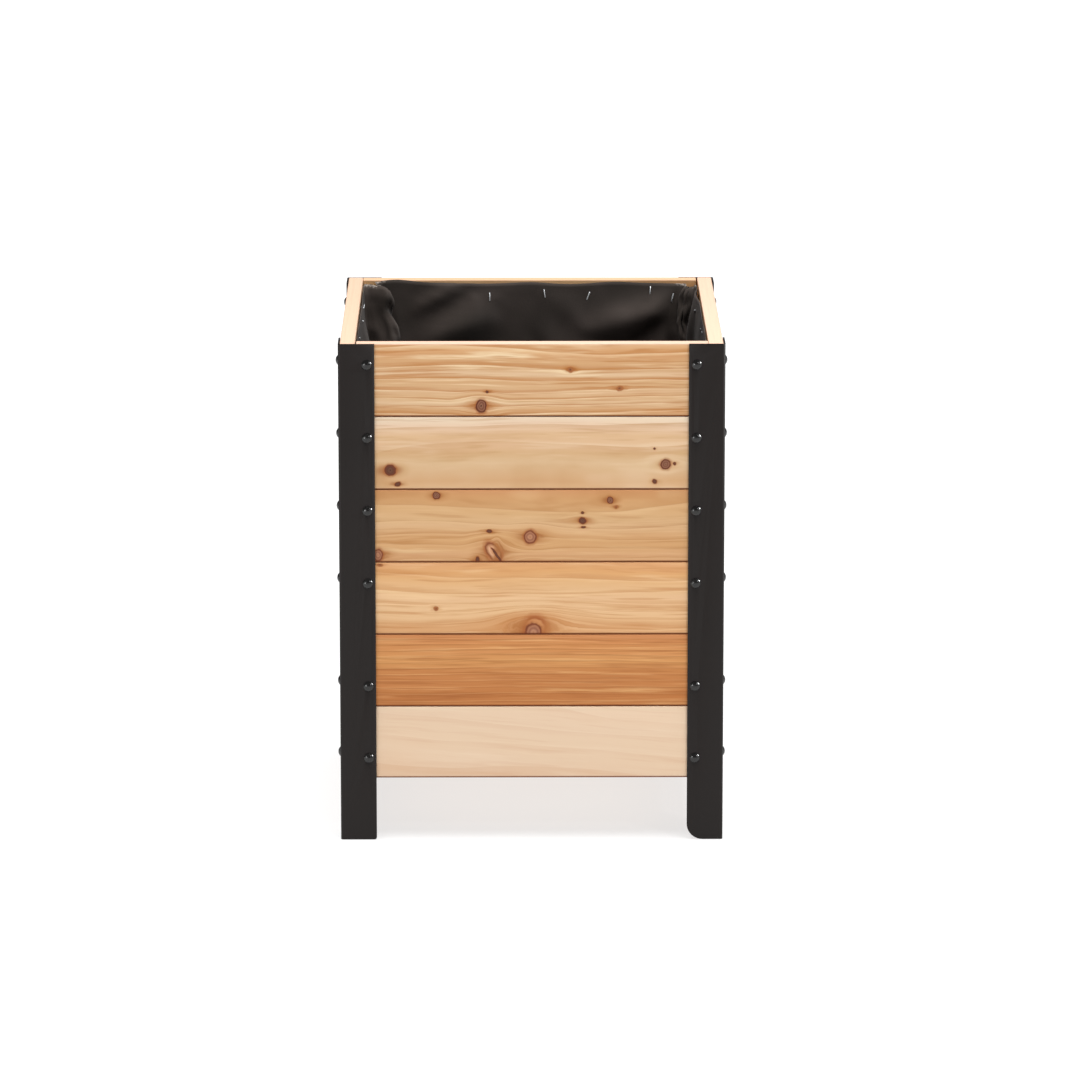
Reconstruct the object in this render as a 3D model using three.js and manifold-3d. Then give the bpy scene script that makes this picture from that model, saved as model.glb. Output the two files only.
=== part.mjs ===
// A square cedar planter on four folded steel corner legs, with a fabric liner over a slatted floor.
//
// Units are millimetres and +Z is up. The origin is the middle of the footprint at ground level.
// The front wall faces -Y, the right wall +X, the back wall +Y and the left wall -X.
// Each wall is built facing -Y in a group of its own, which is then turned about Z into its place.

import * as THREE from 'three';
import { mergeVertices } from 'three/addons/utils/BufferGeometryUtils.js';
import Module from 'manifold-3d';

// Driving dimensions

const INCH = 25.4;
const HEIGHT = 24 * INCH; // ground to the rim
const CLEARANCE = 3 * INCH; // ground to the lowest boards
const BOX_WIDTH = 18 * INCH; // over the boards, the same both ways
const ROWS = 6; // boards in each wall
const FIT_GAP = 0.3; // left between pieces that touch

const BOARD = {
  thickness: 18,
  easedEdge: 1.5, // chamfer along each long edge
  endGap: 1.7, // at the left end of a board that fits between two others
  boltHole: 5.6,
};

const LEG = {
  flange: 43.5,
  thickness: 2,
  bendRadius: 3, // outside of the fold
  frontFootRadius: 3, // corner at the foot of the flange to the right of the fold
  sideFootRadius: 19, // corner at the foot of the flange to the left of the fold
  squareHole: 5.4,
};

const BOLT = {
  headDiameter: 12,
  headHeight: 3.2,
  headRim: 0.5, // straight edge under the dome
  diameter: 4.8, // of the shank, and across the flats of the square neck
  neckLength: 2.4,
  length: 27.5, // under the head
  tipChamfer: 0.6,
  fromCorner: 34.3, // from the fold of the leg
  fromBoardEdge: INCH, // below the top of the upper boards, above the bottom of the lower ones
};
const UPPER_ROWS = 4; // rows whose bolts are near the top edge of their board

const CLEAT = { width: 25, height: 25, length: 370 };
const SLATS = { count: 4, spread: 378, endGap: 1 };
const LINER = { thickness: 1.5, belowRim: 3, cornerCut: 30 };

// Facets of a full circle
const HEAD_SIDES = 16;
const HOLE_SIDES = 10;
const HEAD_RINGS = 3;
const BEND_SEGMENTS = 4;
const FOOT_SEGMENTS = 6;

// Worked out from the driving dimensions

const QUARTER_TURN = Math.PI / 2;
const CENTRE = new THREE.Vector2(0, 0);
const ROW_PITCH = (HEIGHT - CLEARANCE) / ROWS;
const BOARD_HEIGHT = ROW_PITCH - FIT_GAP;
const OUTER_HALF = BOX_WIDTH / 2 + FIT_GAP + LEG.thickness; // centre to the outside of a leg
const INNER_HALF = BOX_WIDTH / 2 - BOARD.thickness; // centre to the inside of a wall
const BOLT_X = OUTER_HALF - BOLT.fromCorner; // centre of a wall to its bolts
const CLEAT_TOP = CLEARANCE + FIT_GAP + CLEAT.height;
const FLOOR_TOP = CLEAT_TOP + FIT_GAP + BOARD.thickness;

// The walls in the order of their quarter turns, each with the walls past its left and right ends
const WALLS = [
  { name: 'front', left: 'left', right: 'right' },
  { name: 'right', left: 'front', right: 'back' },
  { name: 'back', left: 'right', right: 'left' },
  { name: 'left', left: 'back', right: 'front' },
];
const CORNERS = ['front_left', 'front_right', 'back_right', 'back_left'];

// Materials

const cedar = new THREE.MeshStandardMaterial({ color: 0xdcb07c, roughness: 0.7, metalness: 0 });
const paleCedar = new THREE.MeshStandardMaterial({ color: 0xe6c9a8, roughness: 0.72, metalness: 0 });
const redCedar = new THREE.MeshStandardMaterial({ color: 0xc98a55, roughness: 0.7, metalness: 0 });
const powderCoat = new THREE.MeshStandardMaterial({ color: 0x2f2b2a, roughness: 0.55, metalness: 0.1 });
const blackBolt = new THREE.MeshStandardMaterial({ color: 0x1c1a19, roughness: 0.3, metalness: 0.4 });
const landscapeFabric = new THREE.MeshStandardMaterial({ color: 0x262322, roughness: 0.8, metalness: 0 });
const BOARD_MATERIALS = [cedar, paleCedar, cedar, cedar, redCedar, paleCedar]; // top row first

// Solids

const wasm = await Module();
wasm.setup();

/** A closed geometry as a manifold-3d solid. */
function solidOf(geometry) {
  const bare = geometry.clone();
  bare.deleteAttribute('normal');
  bare.deleteAttribute('uv');
  const merged = mergeVertices(bare);
  return new wasm.Manifold(
    new wasm.Mesh({
      numProp: 3,
      vertProperties: merged.attributes.position.array,
      triVerts: new Uint32Array(merged.index.array),
    }),
  );
}

/** A manifold-3d solid as a geometry. */
function geometryOf(solid) {
  const { vertProperties, triVerts } = solid.getMesh();
  const geometry = new THREE.BufferGeometry();
  geometry.setAttribute('position', new THREE.BufferAttribute(vertProperties, 3));
  geometry.setIndex(new THREE.BufferAttribute(triVerts, 1));
  geometry.computeVertexNormals();
  return geometry;
}

/** The blank with every cutter taken away. */
function cut(blank, cutters) {
  return geometryOf(cutters.reduce((solid, cutter) => solid.subtract(solidOf(cutter)), solidOf(blank)));
}

/** The pieces joined into one solid. */
function join(pieces) {
  return geometryOf(pieces.map(solidOf).reduce((a, b) => a.add(b)));
}

function namedMesh(name, geometry, material) {
  const mesh = new THREE.Mesh(geometry, material);
  mesh.name = name;
  return mesh;
}

// Rows

/** Height of a row's top edge. Row 1 is at the rim. */
function rowTop(row) {
  return HEIGHT - (row - 1) * ROW_PITCH;
}

/** Height of a row's bolts. */
function boltHeight(row) {
  if (row <= UPPER_ROWS) return rowTop(row) - BOLT.fromBoardEdge;
  return rowTop(row) - ROW_PITCH + BOLT.fromBoardEdge;
}

const ROW_NUMBERS = Array.from({ length: ROWS }, (_, i) => i + 1);

// Boards

/** A plain board: length along X and centred, thickness along +Y, height along +Z, long edges eased. */
function boardBlank(length) {
  const t = BOARD.thickness;
  const h = BOARD_HEIGHT;
  const e = BOARD.easedEdge;
  const section = new THREE.Shape();
  section.moveTo(e, 0);
  section.lineTo(t - e, 0);
  section.lineTo(t, e);
  section.lineTo(t, h - e);
  section.lineTo(t - e, h);
  section.lineTo(e, h);
  section.lineTo(0, h - e);
  section.lineTo(0, e);
  section.closePath();
  const blank = new THREE.ExtrudeGeometry(section, { depth: length, bevelEnabled: false });
  const [x, y, z] = [new THREE.Vector3(1, 0, 0), new THREE.Vector3(0, 1, 0), new THREE.Vector3(0, 0, 1)];
  blank.applyMatrix4(new THREE.Matrix4().makeBasis(y, z, x));
  return blank.translate(-length / 2, 0, 0);
}

/** A wall board, drilled for the bolt at each end. Its own origin is where boardBlank puts it. */
function wallBoard(length, holeXs, holeZ) {
  const radius = BOARD.boltHole / 2;
  const drills = holeXs.map((x) =>
    new THREE.CylinderGeometry(radius, radius, 3 * BOARD.thickness, HOLE_SIDES).translate(x, 0, holeZ),
  );
  return cut(boardBlank(length), drills);
}

/** Length and sideways place of a wall's boards: two walls run right through, two fit between them. */
function boardRun(wall) {
  const runsThrough = wall.name === 'left' || wall.name === 'right';
  if (runsThrough) return { length: BOX_WIDTH, x: 0 };
  const left = -INNER_HALF + BOARD.endGap;
  const right = INNER_HALF - FIT_GAP;
  return { length: right - left, x: (left + right) / 2 };
}

function wallBoards(wall) {
  const run = boardRun(wall);
  return ROW_NUMBERS.map((row) => {
    const bottom = rowTop(row) - BOARD_HEIGHT;
    const holeXs = [-BOLT_X - run.x, BOLT_X - run.x];
    const board = namedMesh(
      `board_${wall.name}_${row}`,
      wallBoard(run.length, holeXs, boltHeight(row) - bottom),
      BOARD_MATERIALS[row - 1],
    );
    board.position.set(run.x, -BOX_WIDTH / 2, bottom);
    return board;
  });
}

// Legs

/** Section of a folded leg, with the outside of its fold at the origin and its flanges along +X and +Y. */
function legSection() {
  const { flange, thickness, bendRadius } = LEG;
  const section = new THREE.Shape();
  section.moveTo(bendRadius, 0);
  section.lineTo(flange, 0);
  section.lineTo(flange, thickness);
  section.lineTo(bendRadius, thickness);
  section.absarc(bendRadius, bendRadius, bendRadius - thickness, -QUARTER_TURN, -Math.PI, true);
  section.lineTo(thickness, flange);
  section.lineTo(0, flange);
  section.lineTo(0, bendRadius);
  section.absarc(bendRadius, bendRadius, bendRadius, Math.PI, 1.5 * Math.PI, false);
  return section;
}

/** What rounds the free corner at the foot of the flange that lies along +X. */
function footCutter(radius) {
  const reach = 2 * LEG.thickness;
  const corner = new THREE.Shape();
  corner.moveTo(LEG.flange + reach, -reach);
  corner.lineTo(LEG.flange + reach, radius);
  corner.lineTo(LEG.flange, radius);
  corner.absarc(LEG.flange - radius, radius, radius, 0, -QUARTER_TURN, true);
  corner.lineTo(LEG.flange - radius, -reach);
  corner.closePath();
  const cutter = new THREE.ExtrudeGeometry(corner, {
    depth: 2 * reach,
    bevelEnabled: false,
    curveSegments: FOOT_SEGMENTS,
  });
  return cutter.translate(0, 0, -reach).rotateX(QUARTER_TURN);
}

/** Everything cut from the flange along +X: its square bolt holes and its rounded foot. */
function flangeCutters(footRadius) {
  const side = LEG.squareHole;
  const holes = ROW_NUMBERS.map((row) =>
    new THREE.BoxGeometry(side, 4 * LEG.thickness, side).translate(BOLT.fromCorner, 0, boltHeight(row)),
  );
  return [...holes, footCutter(footRadius)];
}

function legGeometry() {
  const blank = new THREE.ExtrudeGeometry(legSection(), {
    depth: HEIGHT,
    bevelEnabled: false,
    curveSegments: BEND_SEGMENTS,
  });
  const sideCutters = flangeCutters(LEG.sideFootRadius).map((cutter) => cutter.rotateZ(QUARTER_TURN));
  return cut(blank, [...flangeCutters(LEG.frontFootRadius), ...sideCutters]);
}

// Bolts

/** A carriage bolt along +Y, with the underside of its domed head at the origin. */
function boltGeometry() {
  const { headDiameter, headHeight, headRim, diameter, neckLength, length, tipChamfer } = BOLT;
  const headRadius = headDiameter / 2;
  const domeHeight = headHeight - headRim;
  const domeRadius = (headRadius ** 2 + domeHeight ** 2) / (2 * domeHeight);
  const domeAngle = Math.asin(headRadius / domeRadius);
  const profile = [
    [0, length],
    [diameter / 2 - tipChamfer, length],
    [diameter / 2, length - tipChamfer],
    [diameter / 2, 0],
    [headRadius, 0],
  ];
  for (let ring = HEAD_RINGS; ring >= 0; ring--) {
    const angle = (domeAngle * ring) / HEAD_RINGS;
    const y = domeRadius * (1 - Math.cos(angle)) - headHeight;
    profile.push([ring === 0 ? 0 : domeRadius * Math.sin(angle), y]);
  }
  const points = profile.map(([radius, y]) => new THREE.Vector2(radius, y)).reverse();
  const turned = new THREE.LatheGeometry(points, HEAD_SIDES);
  const neck = new THREE.BoxGeometry(diameter, neckLength, diameter).translate(0, neckLength / 2, 0);
  return join([turned, neck]);
}

/** One bolt for each board of a wall: at its left end in odd rows, and at its right end in even ones. */
function wallBolts(wall, geometry) {
  return ROW_NUMBERS.map((row) => {
    const atLeft = row % 2 === 1;
    const end = atLeft ? wall.left : wall.right;
    const bolt = namedMesh(`bolt_${wall.name}_${end}_${row}`, geometry, blackBolt);
    bolt.position.set(atLeft ? -BOLT_X : BOLT_X, -OUTER_HALF - FIT_GAP, boltHeight(row));
    return bolt;
  });
}

// Floor

function floorCleat(name, side) {
  const cleat = namedMesh(name, new THREE.BoxGeometry(CLEAT.width, CLEAT.length, CLEAT.height), paleCedar);
  const x = INNER_HALF - FIT_GAP - CLEAT.width / 2;
  cleat.position.set(side * x, 0, CLEAT_TOP - CLEAT.height / 2);
  return cleat;
}

/** The slats lie flat across the cleats, from the front to the back. */
function floorSlats() {
  const geometry = boardBlank(2 * (INNER_HALF - SLATS.endGap));
  const pitch = (SLATS.spread - BOARD_HEIGHT) / (SLATS.count - 1);
  return Array.from({ length: SLATS.count }, (_, i) => {
    const slat = namedMesh(`floor_slat_${i + 1}`, geometry, cedar);
    slat.rotation.x = -QUARTER_TURN;
    slat.position.set(0, -SLATS.spread / 2 + i * pitch, FLOOR_TOP);
    return slat;
  });
}

// Liner

/** Outline of the liner: a square with its corners cut off, which leaves room for the bolt ends. */
function linerOutline(half, cornerCut) {
  const corners = [0, 1, 2, 3].map((turn) => [
    new THREE.Vector2(half, cornerCut - half).rotateAround(CENTRE, turn * QUARTER_TURN),
    new THREE.Vector2(half, half - cornerCut).rotateAround(CENTRE, turn * QUARTER_TURN),
  ]);
  return new THREE.Shape(corners.flat());
}

/** An open-topped fabric box that stands on the slats and lies against the walls. */
function linerGeometry() {
  const depth = HEIGHT - LINER.belowRim - FLOOR_TOP - FIT_GAP;
  const half = INNER_HALF - FIT_GAP;
  const innerCut = LINER.cornerCut - LINER.thickness * (2 - Math.SQRT2);
  const outline = linerOutline(half, LINER.cornerCut);
  const innerOutline = linerOutline(half - LINER.thickness, innerCut);
  const outside = new THREE.ExtrudeGeometry(outline, { depth, bevelEnabled: false });
  const inside = new THREE.ExtrudeGeometry(innerOutline, { depth, bevelEnabled: false });
  return cut(outside, [inside.translate(0, 0, LINER.thickness)]);
}

// Assembly

const planter = new THREE.Group();
const leg = legGeometry();
const bolt = boltGeometry();

WALLS.forEach((wall, turn) => {
  const side = new THREE.Group();
  side.rotation.z = turn * QUARTER_TURN;
  side.add(...wallBoards(wall), ...wallBolts(wall, bolt));
  planter.add(side);
});

CORNERS.forEach((corner, turn) => {
  const place = new THREE.Group();
  place.rotation.z = turn * QUARTER_TURN;
  const mesh = namedMesh(`leg_${corner}`, leg, powderCoat);
  mesh.position.set(-OUTER_HALF, -OUTER_HALF, 0);
  place.add(mesh);
  planter.add(place);
});

planter.add(floorCleat('floor_cleat_left', -1), floorCleat('floor_cleat_right', 1), ...floorSlats());

const liner = namedMesh('liner', linerGeometry(), landscapeFabric);
liner.position.z = FLOOR_TOP + FIT_GAP;
planter.add(liner);

export default planter;
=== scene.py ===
"""A square cedar planter on four folded steel legs, with its fasteners, floor, fabric liner and a studio."""

import logging
import math
import random
from dataclasses import dataclass, field
from enum import Enum
from typing import Callable, Iterable, Sequence

import bmesh
import bpy
from bmesh.types import BMesh, BMFace, BMVert
from bpy.types import Material, Node, NodeSocket, NodeTree, Object
from mathutils import Matrix, Vector, noise


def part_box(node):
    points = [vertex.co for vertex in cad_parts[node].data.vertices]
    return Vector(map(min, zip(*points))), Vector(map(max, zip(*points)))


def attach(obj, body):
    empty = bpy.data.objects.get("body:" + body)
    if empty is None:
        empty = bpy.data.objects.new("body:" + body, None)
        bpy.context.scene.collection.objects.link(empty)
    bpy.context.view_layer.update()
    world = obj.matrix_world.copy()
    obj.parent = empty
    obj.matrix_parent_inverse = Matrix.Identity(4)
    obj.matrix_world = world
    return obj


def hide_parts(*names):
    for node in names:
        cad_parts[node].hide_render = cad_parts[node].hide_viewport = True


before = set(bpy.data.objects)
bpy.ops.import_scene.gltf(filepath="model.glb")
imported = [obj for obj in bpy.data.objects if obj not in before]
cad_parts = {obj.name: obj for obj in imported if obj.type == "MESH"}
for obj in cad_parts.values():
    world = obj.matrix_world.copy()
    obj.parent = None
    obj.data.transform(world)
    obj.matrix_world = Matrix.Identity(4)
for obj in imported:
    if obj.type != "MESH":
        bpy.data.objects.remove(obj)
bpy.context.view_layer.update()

BODY = "root"
MM = 0.001
QUARTER_TURN = math.pi / 2
ROWS = range(1, 7)  # from the rim down
TINY = 1e-6  # points closer than this are one, in metres

log = logging.getLogger("planter")


# Helpers


def linear(colour: str) -> tuple[float, float, float, float]:
    """An sRGB hex colour as linear RGBA.

    Args:
        colour: Six hex digits after a hash.

    Returns:
        The linear red, green, blue and an alpha of 1.
    """
    parts = [int(colour[i : i + 2], 16) / 255 for i in (1, 3, 5)]
    red, green, blue = [c / 12.92 if c <= 0.04045 else ((c + 0.055) / 1.055) ** 2.4 for c in parts]
    return red, green, blue, 1.0


def add_node(
    tree: NodeTree, kind: str, settings: dict, inputs: dict, stops: Sequence[tuple[float, str]] = ()
) -> Node:
    """Adds one shader node.

    Args:
        tree: The node tree that takes it.
        kind: The node's type, without its ShaderNode prefix.
        settings: The node's own properties by name.
        inputs: What each input gets, by its name or index: an output socket to link, or a plain value.
        stops: The place and hex colour of each stop of a colour ramp, in order.

    Returns:
        The new node.
    """
    node = tree.nodes.new(f"ShaderNode{kind}")
    for name, value in settings.items():
        setattr(node, name, value)
    for name, value in inputs.items():
        if isinstance(value, NodeSocket):
            tree.links.new(value, node.inputs[name])
        else:
            node.inputs[name].default_value = value
    if stops:
        elements = node.color_ramp.elements
        while len(elements) < len(stops):
            elements.new(1.0)
        for element, (place, colour) in zip(elements, stops):
            element.position = place
            element.color = linear(colour)
    return node


def new_material(name: str) -> tuple[Material, NodeTree, Node]:
    """Starts a material that holds one Principled shader.

    Args:
        name: The material's name.

    Returns:
        The material, its node tree and its Principled node.
    """
    material = bpy.data.materials.new(name)
    material.use_nodes = True
    tree = material.node_tree
    return material, tree, tree.nodes["Principled BSDF"]


def place_mesh(bm: BMesh, name: str, material: Material, sharp: float = 35.0) -> Object:
    """Turns a bmesh into an object at the origin.

    Args:
        bm: The finished shape, in the planter's own frame. It is freed.
        name: The object's name.
        material: What it is made of.
        sharp: The angle in degrees above which an edge stays sharp.

    Returns:
        The object, linked to the scene.
    """
    mesh = bpy.data.meshes.new(name)
    bm.to_mesh(mesh)
    bm.free()
    mesh.shade_smooth()
    mesh.set_sharp_from_angle(angle=math.radians(sharp))
    mesh.materials.append(material)
    piece = bpy.data.objects.new(name, mesh)
    bpy.context.scene.collection.objects.link(piece)
    return piece


def hand_over(piece: Object, slot: str, nodes: Sequence[str] = ()) -> None:
    """Ties a piece to the planter's body, hides the CAD nodes that it replaces and logs its material slot.

    Args:
        piece: The finished piece.
        slot: The name of its material slot, which is only logged.
        nodes: The CAD nodes that it replaces.
    """
    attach(piece, BODY)
    if nodes:
        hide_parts(*nodes)
    log.info("%s: %d faces, %s", piece.name, len(piece.data.polygons), slot)


def apply_modifiers(piece: Object) -> None:
    """Makes a piece's modifiers part of its mesh.

    Args:
        piece: The piece.
    """
    shape = piece.evaluated_get(bpy.context.evaluated_depsgraph_get())
    mesh = bpy.data.meshes.new_from_object(shape)
    piece.modifiers.clear()
    old = piece.data
    piece.data = mesh
    mesh.name = old.name
    bpy.data.meshes.remove(old)


def cut_away(piece: Object, cutter: BMesh) -> None:
    """Takes a cutter away from a piece.

    Args:
        piece: The piece to cut.
        cutter: The closed shapes to take away. It is freed.
    """
    mesh = bpy.data.meshes.new("cutter")
    cutter.to_mesh(mesh)
    cutter.free()
    tool = bpy.data.objects.new("cutter", mesh)
    bpy.context.scene.collection.objects.link(tool)
    boolean = piece.modifiers.new("holes", "BOOLEAN")
    boolean.object = tool
    boolean.operation = "DIFFERENCE"
    boolean.solver = "EXACT"
    apply_modifiers(piece)
    bpy.data.objects.remove(tool)
    bpy.data.meshes.remove(mesh)


def soften(piece: Object, width: float, segments: int, angle: float = 40.0) -> None:
    """Rounds every edge of a piece that is sharper than an angle.

    Args:
        piece: The piece.
        width: How far the rounding reaches, in metres.
        segments: The steps in it.
        angle: The smallest angle in degrees between faces that is rounded.
    """
    bevel = piece.modifiers.new("soft_edges", "BEVEL")
    bevel.width = width
    bevel.segments = segments
    bevel.limit_method = "ANGLE"
    bevel.angle_limit = math.radians(angle)
    apply_modifiers(piece)
    piece.data.shade_smooth()
    piece.data.set_sharp_from_angle(angle=math.radians(angle))


def copies(shape: Callable[[], BMesh], places: Iterable[Matrix], name: str, material: Material) -> Object:
    """Copies of one shape as one piece.

    Args:
        shape: What makes the shape.
        places: Where each copy goes.
        name: The piece's name.
        material: Its finish.

    Returns:
        The piece.
    """
    whole = bmesh.new()
    for place in places:
        one = shape()
        bmesh.ops.transform(one, matrix=place, verts=one.verts)
        mesh = bpy.data.meshes.new("copy")
        one.to_mesh(mesh)
        one.free()
        whole.from_mesh(mesh)
        bpy.data.meshes.remove(mesh)
    return place_mesh(whole, name, material, 30)


# Where things are


class Wall(Enum):
    """A wall, with its quarter turns about Z from the front and the walls past its two ends."""

    FRONT = (0, "left", "right")
    RIGHT = (1, "front", "back")
    BACK = (2, "right", "left")
    LEFT = (3, "back", "front")

    @property
    def label(self) -> str:
        """The wall's name in the names of its pieces."""
        return self.name.lower()

    @property
    def turns(self) -> int:
        """The quarter turns that take the front wall to this one."""
        return self.value[0]

    @property
    def turn(self) -> Matrix:
        """The same as a rotation."""
        return Matrix.Rotation(self.turns * QUARTER_TURN, 3, "Z")

    def end(self, side: int) -> str:
        """The neighbouring wall at the left end (side -1) or the right end (side 1)."""
        return self.value[1] if side < 0 else self.value[2]


@dataclass(frozen=True)
class Fastening:
    """One bolt's place on its wall, in metres, with the wall turned to the front."""

    wall: Wall
    row: int
    side: int  # -1 at the wall's left end, 1 at its right end
    x: float
    y: float  # of the top of its head
    z: float

    @property
    def node(self) -> str | None:
        """The CAD node of this bolt, or None if it has none."""
        name = f"bolt_{self.wall.label}_{self.wall.end(self.side)}_{self.row}"
        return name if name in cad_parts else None


def fastenings() -> list[Fastening]:
    """Every bolt of the planter.

    Each row of each wall has a bolt at both ends, at one height. One of the two is a CAD node.

    Returns:
        The places of all the bolts.
    """
    places = []
    for wall in Wall:
        for row in ROWS:
            side = -1 if row % 2 else 1
            low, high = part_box(f"bolt_{wall.label}_{wall.end(side)}_{row}")
            centre = wall.turn.transposed() @ ((Vector(low) + Vector(high)) / 2)
            length = max(high[i] - low[i] for i in range(3))
            for end in (-1, 1):
                x = abs(centre.x) * end
                places.append(Fastening(wall, row, end, x, centre.y - length / 2, centre.z))
    return places


# Finishes


class KnotKind(Enum):
    """What a knot looks like, as its colours from the heart to the rim."""

    DARK = ("#472a20", "#6c4433", "#5a3729", "#643828", "#6a3421")
    RINGED = ("#33211a", "#93634b", "#6c4232", "#926049", "#58281a")
    ROSY = ("#a8714f", "#b98362", "#8f5b45", "#ad7555", "#783e28")
    ARCHED = ("#d8a673", "#dba873", "#d9a470", "#d39863", "#a1582f")
    RED = ("#63341e", "#87502f", "#965c37", "#a0633a", "#a5663a")
    SPLIT = ("#dcab84", "#cf976f", "#ddad87", "#c08a63", "#8a4e30")


@dataclass(frozen=True)
class Knot:
    """A knot in a wall board, in millimetres: x from the wall's middle, z above the ground."""

    x: float
    z: float
    width: float
    height: float
    kind: KnotKind = KnotKind.DARK
    tilt: float = 0.0  # degrees


@dataclass(frozen=True)
class Cedar:
    """The tone and figure of one kind of cedar board."""

    label: str
    slot: str
    tones: tuple[str, ...]  # evenly spaced across the board, from its lower edge to its upper one
    light: str  # of the pale streaks
    deep: str  # of the dark ones
    streaks: float  # how much the streaks show
    lines: float  # how much the ring lines show
    streak_width: float  # across the grain, mm
    ring_width: float  # of one growth ring, mm, several times the real one so that it shows
    pith: tuple[float, float]  # the tree's middle from the board's, across the board and behind it, mm
    wander: float  # how far the grain strays sideways, mm
    slope: float = 0.0  # of the grain against the board's length, degrees


HONEY = Cedar(
    "honey",
    "cedar",
    (
        "#cb9a6d", "#cf9f6f", "#ddbb94", "#d4ab7f", "#d8b188", "#d3aa7e", "#cfa173",
        "#ddbb95", "#ca9a6c", "#d2a577", "#cd9969", "#dbab7a", "#e2ba92",
    ),
    light="#f0d6ae",
    deep="#b9793f",
    streaks=1.25,
    lines=1.2,
    streak_width=7,
    ring_width=8,
    pith=(55, 60),
    wander=4,
)
BLUSH = Cedar(
    "blush",
    "cedar",
    ("#d9b389", "#d2a67a", "#d5af85", "#d9b88f", "#d4ad82", "#deb993", "#dcb78e", "#e3c3a5", "#e9d5bb"),
    light="#ead0ae",
    deep="#bf8e5c",
    streaks=0.6,
    lines=0.75,
    streak_width=9,
    ring_width=9,
    pith=(-30, 120),
    wander=4,
)
GOLD = Cedar(
    "gold",
    "cedar",
    (
        "#d1a071", "#d4a477", "#d1a16f", "#d0a06e", "#d3a576", "#d8b084",
        "#d6ae80", "#d4a979", "#d0a271", "#cd9b69", "#ce9465",
    ),
    light="#e8c697",
    deep="#b57c47",
    streaks=0.95,
    lines=0.7,
    streak_width=7,
    ring_width=7.5,
    pith=(40, 80),
    wander=4,
)
AMBER = Cedar(
    "amber",
    "cedar",
    ("#dba878", "#d4a06f", "#e3ba8c", "#e3bb8e", "#e3ba8e", "#e1b788", "#dfb07d", "#dba56e", "#dca473"),
    light="#efcb9d",
    deep="#c3844d",
    streaks=0.85,
    lines=0.9,
    streak_width=8,
    ring_width=8,
    pith=(60, 70),
    wander=5,
)
RUSSET = Cedar(
    "russet",
    "red_cedar",
    ("#c17f4a", "#bc7742", "#c07d48", "#c27f4a", "#c3814b", "#d3975c", "#ce8e56", "#cb8952", "#ca8655"),
    light="#eab87c",
    deep="#9c5a2e",
    streaks=0.85,
    lines=0.75,
    streak_width=5,
    ring_width=4.5,
    pith=(-160, 200),
    wander=2,
)
SAPWOOD = Cedar(
    "sapwood",
    "pale_cedar",
    ("#dfbd9d", "#e4c7a9", "#e5c9ab", "#e5c9ac", "#e6caad"),
    light="#f0dcc4",
    deep="#cd9a74",
    streaks=0.35,
    lines=0.3,
    streak_width=6,
    ring_width=11,
    pith=(-80, 160),
    wander=4,
    slope=4.5,
)

# The cedar of each row
FRONT_TONES = {1: HONEY, 2: BLUSH, 3: GOLD, 4: AMBER, 5: RUSSET, 6: SAPWOOD}
OTHER_TONES = {
    Wall.RIGHT: {1: AMBER, 2: GOLD, 3: SAPWOOD, 4: HONEY, 5: GOLD, 6: BLUSH},
    Wall.BACK: {1: GOLD, 2: HONEY, 3: RUSSET, 4: BLUSH, 5: AMBER, 6: GOLD},
    Wall.LEFT: {1: BLUSH, 2: AMBER, 3: HONEY, 4: RUSSET, 5: BLUSH, 6: HONEY},
}
# The pale tones of the top row's upper edges: painted highlights where the rim catches the light from above
PAINTED_RIM_HIGHLIGHTS = {Wall.FRONT: "#d8b8a6", Wall.RIGHT: "#d8b8a6", Wall.BACK: "#cfa98c", Wall.LEFT: "#cdad98"}

FRONT_KNOTS = {
    1: [
        Knot(-60, 534, 12, 16, KnotKind.RINGED, 8),
        Knot(-53, 551, 4, 3),
        Knot(46, 578, 5, 6, KnotKind.RED),
        Knot(105, 555, 7, 5, KnotKind.RED, -25),
    ],
    2: [
        Knot(-169, 456, 13, 12.5),
        Knot(-160, 439, 7, 5, KnotKind.DARK, -20),
        Knot(160, 463, 12, 12.5, KnotKind.RINGED),
        Knot(171, 464, 4, 4),
        Knot(147, 442, 6, 6),
        Knot(147, 482, 3, 2.5),
    ],
    3: [
        Knot(-114, 425, 8, 9, KnotKind.RINGED),
        Knot(94, 419, 7, 8, KnotKind.RINGED),
        Knot(101, 411, 4, 4, KnotKind.RED),
        Knot(61, 394, 9, 8),
        Knot(61, 404, 4, 3),
        Knot(62, 386, 5, 3),
        Knot(-2, 374, 14, 16, KnotKind.ROSY),
        Knot(-51, 381, 7, 4),
        Knot(-46, 356, 14, 25, KnotKind.SPLIT, -35),
        Knot(-42, 352, 3, 20, KnotKind.DARK, -35),
        Knot(-65, 346, 5, 8),
        Knot(-184, 352, 11, 14, KnotKind.ROSY),
    ],
    4: [
        Knot(-182, 340, 6, 4, KnotKind.RED),
        Knot(-115, 286, 5, 5, KnotKind.RED),
        Knot(4, 262, 27, 27, KnotKind.ARCHED, 20),
        Knot(2, 257, 19, 21, KnotKind.ROSY, 10),
    ],
    5: [],
    6: [],
}


class Grain(Enum):
    """The turn that brings a board's length to X, its width to Z and its thickness to Y."""

    ALONG_X = (0.0, 0.0, 0.0)
    ALONG_Y = (0.0, 0.0, -QUARTER_TURN)
    FLAT_ALONG_X = (QUARTER_TURN, 0.0, 0.0)


@dataclass(frozen=True)
class KnotSpot:
    """Where a point of a board is in relation to one knot, as sockets."""

    knot: Knot
    core: NodeSocket  # its distance in knot radii
    flow: NodeSocket  # the same, stretched along the grain
    lift: NodeSocket  # how far the grain is pushed aside there


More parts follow.
